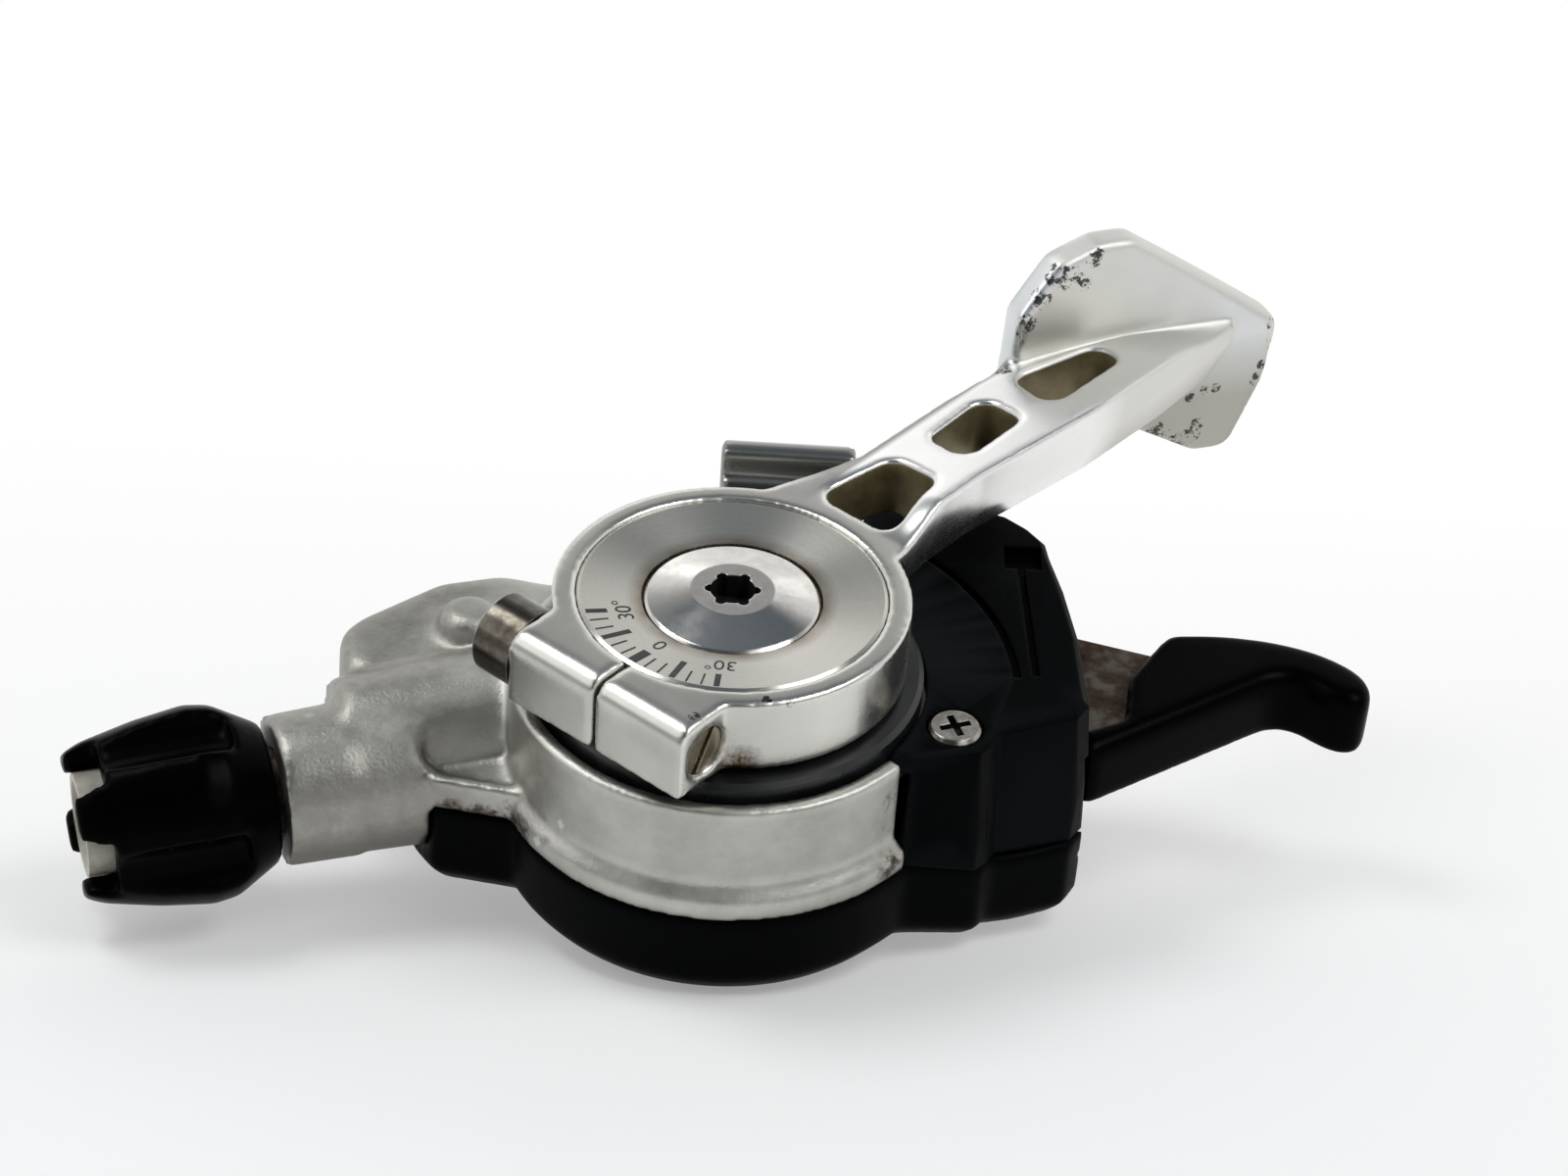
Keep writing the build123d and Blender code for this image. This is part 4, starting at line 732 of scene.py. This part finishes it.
def dial_number(name, words, offset_deg, radius):
    """A printed number on the dial, its top towards the rim."""
    angle = math.radians(DIAL_MID_ANGLE + offset_deg)
    curve = bpy.data.curves.new(name + "_curve", "FONT")
    curve.body = words
    curve.size = NUMBER_SIZE * MM
    curve.extrude = PRINT_LIFT * MM
    curve.align_x = "CENTER"
    curve.align_y = "CENTER"
    text = bpy.data.objects.new(name + "_text", curve)
    bpy.context.collection.objects.link(text)
    bpy.context.view_layer.update()
    mesh = bpy.data.meshes.new_from_object(text.evaluated_get(bpy.context.evaluated_depsgraph_get()))
    bpy.data.objects.remove(text)
    slope = math.atan2(DISH_RIM_Z - DISH_EYE_Z, DISH_RIM_R - DISH_EYE_R)
    mesh.transform(Matrix.Rotation(slope, 4, "X"))
    mesh.transform(Matrix.Rotation(angle - math.pi / 2, 4, "Z"))
    mesh.transform(Matrix.Translation(Vector((math.cos(angle) * radius, math.sin(angle) * radius,
                                              dish_z(radius))) * MM))
    obj = bpy.data.objects.new(name, mesh)
    bpy.context.collection.objects.link(obj)
    return obj


dial_ink = plain_plastic("black_printing_ink", "#17181A", "#2A2A2A", 0.45)
for piece in (dial_ticks(), dial_number("dial_zero", "0", 0.0, ZERO_R),
              dial_number("dial_left", "30°", -THIRTY_ANGLE, THIRTY_R),
              dial_number("dial_right", "30°", THIRTY_ANGLE, THIRTY_R)):
    piece.data.materials.clear()
    piece.data.materials.append(dial_ink)
    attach(piece, "hub")

# Floor: touches the lid's front edge and the lowest point of the band, as the shifter lies
lid_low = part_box("lid")[0]
front_edge = Vector((0.0, lid_low.y + LID_EDGE_IN * MM, lid_low.z))
run = BAND_Y * MM - front_edge.y
drop = BAND_Z * MM - front_edge.z
tilt = math.asin(BAND_R * MM / math.hypot(run, drop)) - math.atan2(drop, run)
floor_mesh = bpy.data.meshes.new("floor")
floor_corners = [(x * FLOOR_HALF, y * FLOOR_HALF, 0) for x, y in ((-1, -1), (1, -1), (1, 1), (-1, 1))]
floor_mesh.from_pydata(floor_corners, [], [(0, 1, 2, 3)])
floor = bpy.data.objects.new("floor", floor_mesh)
floor.matrix_world = Matrix.Translation(front_edge) @ Matrix.Rotation(-tilt, 4, "X")
bpy.context.collection.objects.link(floor)

# Matt white board: glows softly towards the back, so that it runs into the background, and keeps the shadow
floor_material, tree, shader, place = new_material("matt_white_board")
shader.inputs["Base Color"].default_value = linear("#F8F8F8")
shader.inputs["Roughness"].default_value = 0.8
shader.inputs["Specular IOR Level"].default_value = 0.1
depth = node(tree, "ShaderNodeSeparateXYZ", {"Vector": place})
fade = node(tree, "ShaderNodeMapRange", {"Value": depth.outputs["Y"], "From Min": FLOOR_GLOW[0] * MM,
                                         "From Max": FLOOR_GLOW[1] * MM, "To Min": 0.15, "To Max": 1.0})
paths = node(tree, "ShaderNodeLightPath")
seen = node(tree, "ShaderNodeMath", {0: paths.outputs["Is Camera Ray"], 1: paths.outputs["Is Glossy Ray"]},
            operation="MAXIMUM")
seen = node(tree, "ShaderNodeMath", {0: seen.outputs["Value"], 1: paths.outputs["Is Transmission Ray"]},
            operation="MAXIMUM")
share = node(tree, "ShaderNodeMath", {0: fade.outputs["Result"], 1: seen.outputs["Value"]},
             operation="MULTIPLY")
glow = node(tree, "ShaderNodeEmission", {"Color": (1.0, 1.0, 1.0, 1.0), "Strength": 1.0})
board = node(tree, "ShaderNodeMixShader", {0: share.outputs["Value"], 1: shader.outputs["BSDF"],
                                           2: glow.outputs["Emission"]})
node(tree, "ShaderNodeOutputMaterial", {"Surface": board.outputs["Shader"]}).is_active_output = True
floor_mesh.materials.append(floor_material)

# World: white to the camera; to the object a dome that is white at the horizon behind, dim blue-grey
# overhead and dimmer in front
world = bpy.data.worlds.new("studio")
world.use_nodes = True
bpy.context.scene.world = world
tree = world.node_tree
tree.nodes.clear()
direction = node(tree, "ShaderNodeTexCoord").outputs["Generated"]
height = node(tree, "ShaderNodeSeparateXYZ", {"Vector": direction})
dome = node(tree, "ShaderNodeValToRGB", {"Fac": height.outputs["Z"]})
ramp_stops(dome, [(0.0, 0.95), (0.36, 0.92), (0.46, 0.84), (0.58, 0.42), (0.74, linear("#525A62")),
                  (1.0, linear("#727A82"))])
rays = node(tree, "ShaderNodeLightPath")
to_camera = node(tree, "ShaderNodeBackground", {"Color": (1.0, 1.0, 1.0, 1.0), "Strength": 1.0})
behind = node(tree, "ShaderNodeMapRange", {"Value": height.outputs["Y"], "From Min": -0.5, "From Max": 0.3,
                                           "To Min": 0.4, "To Max": 1.0})
to_object = node(tree, "ShaderNodeBackground", {"Color": dome.outputs["Color"],
                                                "Strength": behind.outputs["Result"]})
mixed = node(tree, "ShaderNodeMixShader", {0: rays.outputs["Is Camera Ray"],
                                           1: to_object.outputs["Background"],
                                           2: to_camera.outputs["Background"]})
node(tree, "ShaderNodeOutputWorld", {"Surface": mixed.outputs["Shader"]})


def softbox(name, way, reach_mm, size_mm, radiance):
    """A round soft lamp that looks at the object from a direction, as bright as radiance says."""
    lamp = bpy.data.lights.new(name, "AREA")
    lamp.shape = "DISK"
    lamp.size = size_mm * MM
    lamp.energy = radiance * math.pi * math.pi * (size_mm * MM / 2) ** 2
    obj = bpy.data.objects.new(name, lamp)
    aim = Vector(way).normalized()
    obj.location = aim * reach_mm * MM
    obj.rotation_euler = (-aim).to_track_quat("-Z", "Y").to_euler()
    bpy.context.collection.objects.link(obj)
    return obj


softbox("left_softbox", (-0.76, -0.10, 0.64), 450, 280, 1.2)
softbox("top_right_softbox", (0.50, -0.05, 0.86), 450, 220, 5.4)
softbox("top_left_softbox", (-0.45, 0.25, 0.86), 450, 200, 6.2)
softbox("front_softbox", (0.47, -0.47, 0.75), 450, 240, 1.0)
softbox("rear_softbox", (0.30, 0.77, 0.56), 450, 200, 0.4)
softbox("low_rear_softbox", (-0.13, 0.90, 0.42), 450, 110, 0.8)

# Camera of the photograph
pitch, yaw, roll = (math.radians(a) for a in (CAMERA_PITCH, CAMERA_YAW, CAMERA_ROLL))
ahead = Vector((math.sin(yaw) * math.cos(pitch), math.cos(yaw) * math.cos(pitch), -math.sin(pitch)))
level_right = Vector((math.cos(yaw), -math.sin(yaw), 0.0))
level_down = ahead.cross(level_right)
right = math.cos(roll) * level_right + math.sin(roll) * level_down
down = -math.sin(roll) * level_right + math.cos(roll) * level_down
camera_data = bpy.data.cameras.new("photo_camera")
camera_data.sensor_width = SENSOR_MM
camera_data.lens = FOCAL_PX / PHOTO_WIDTH_PX * SENSOR_MM
camera = bpy.data.objects.new("photo_camera", camera_data)
turn = Matrix((right, -down, -ahead)).transposed().to_4x4()
camera.matrix_world = Matrix.Translation(Vector(CAMERA_MM) * MM) @ turn
bpy.context.collection.objects.link(camera)
bpy.context.scene.camera = camera
bpy.context.scene.view_settings.view_transform = "Standard"
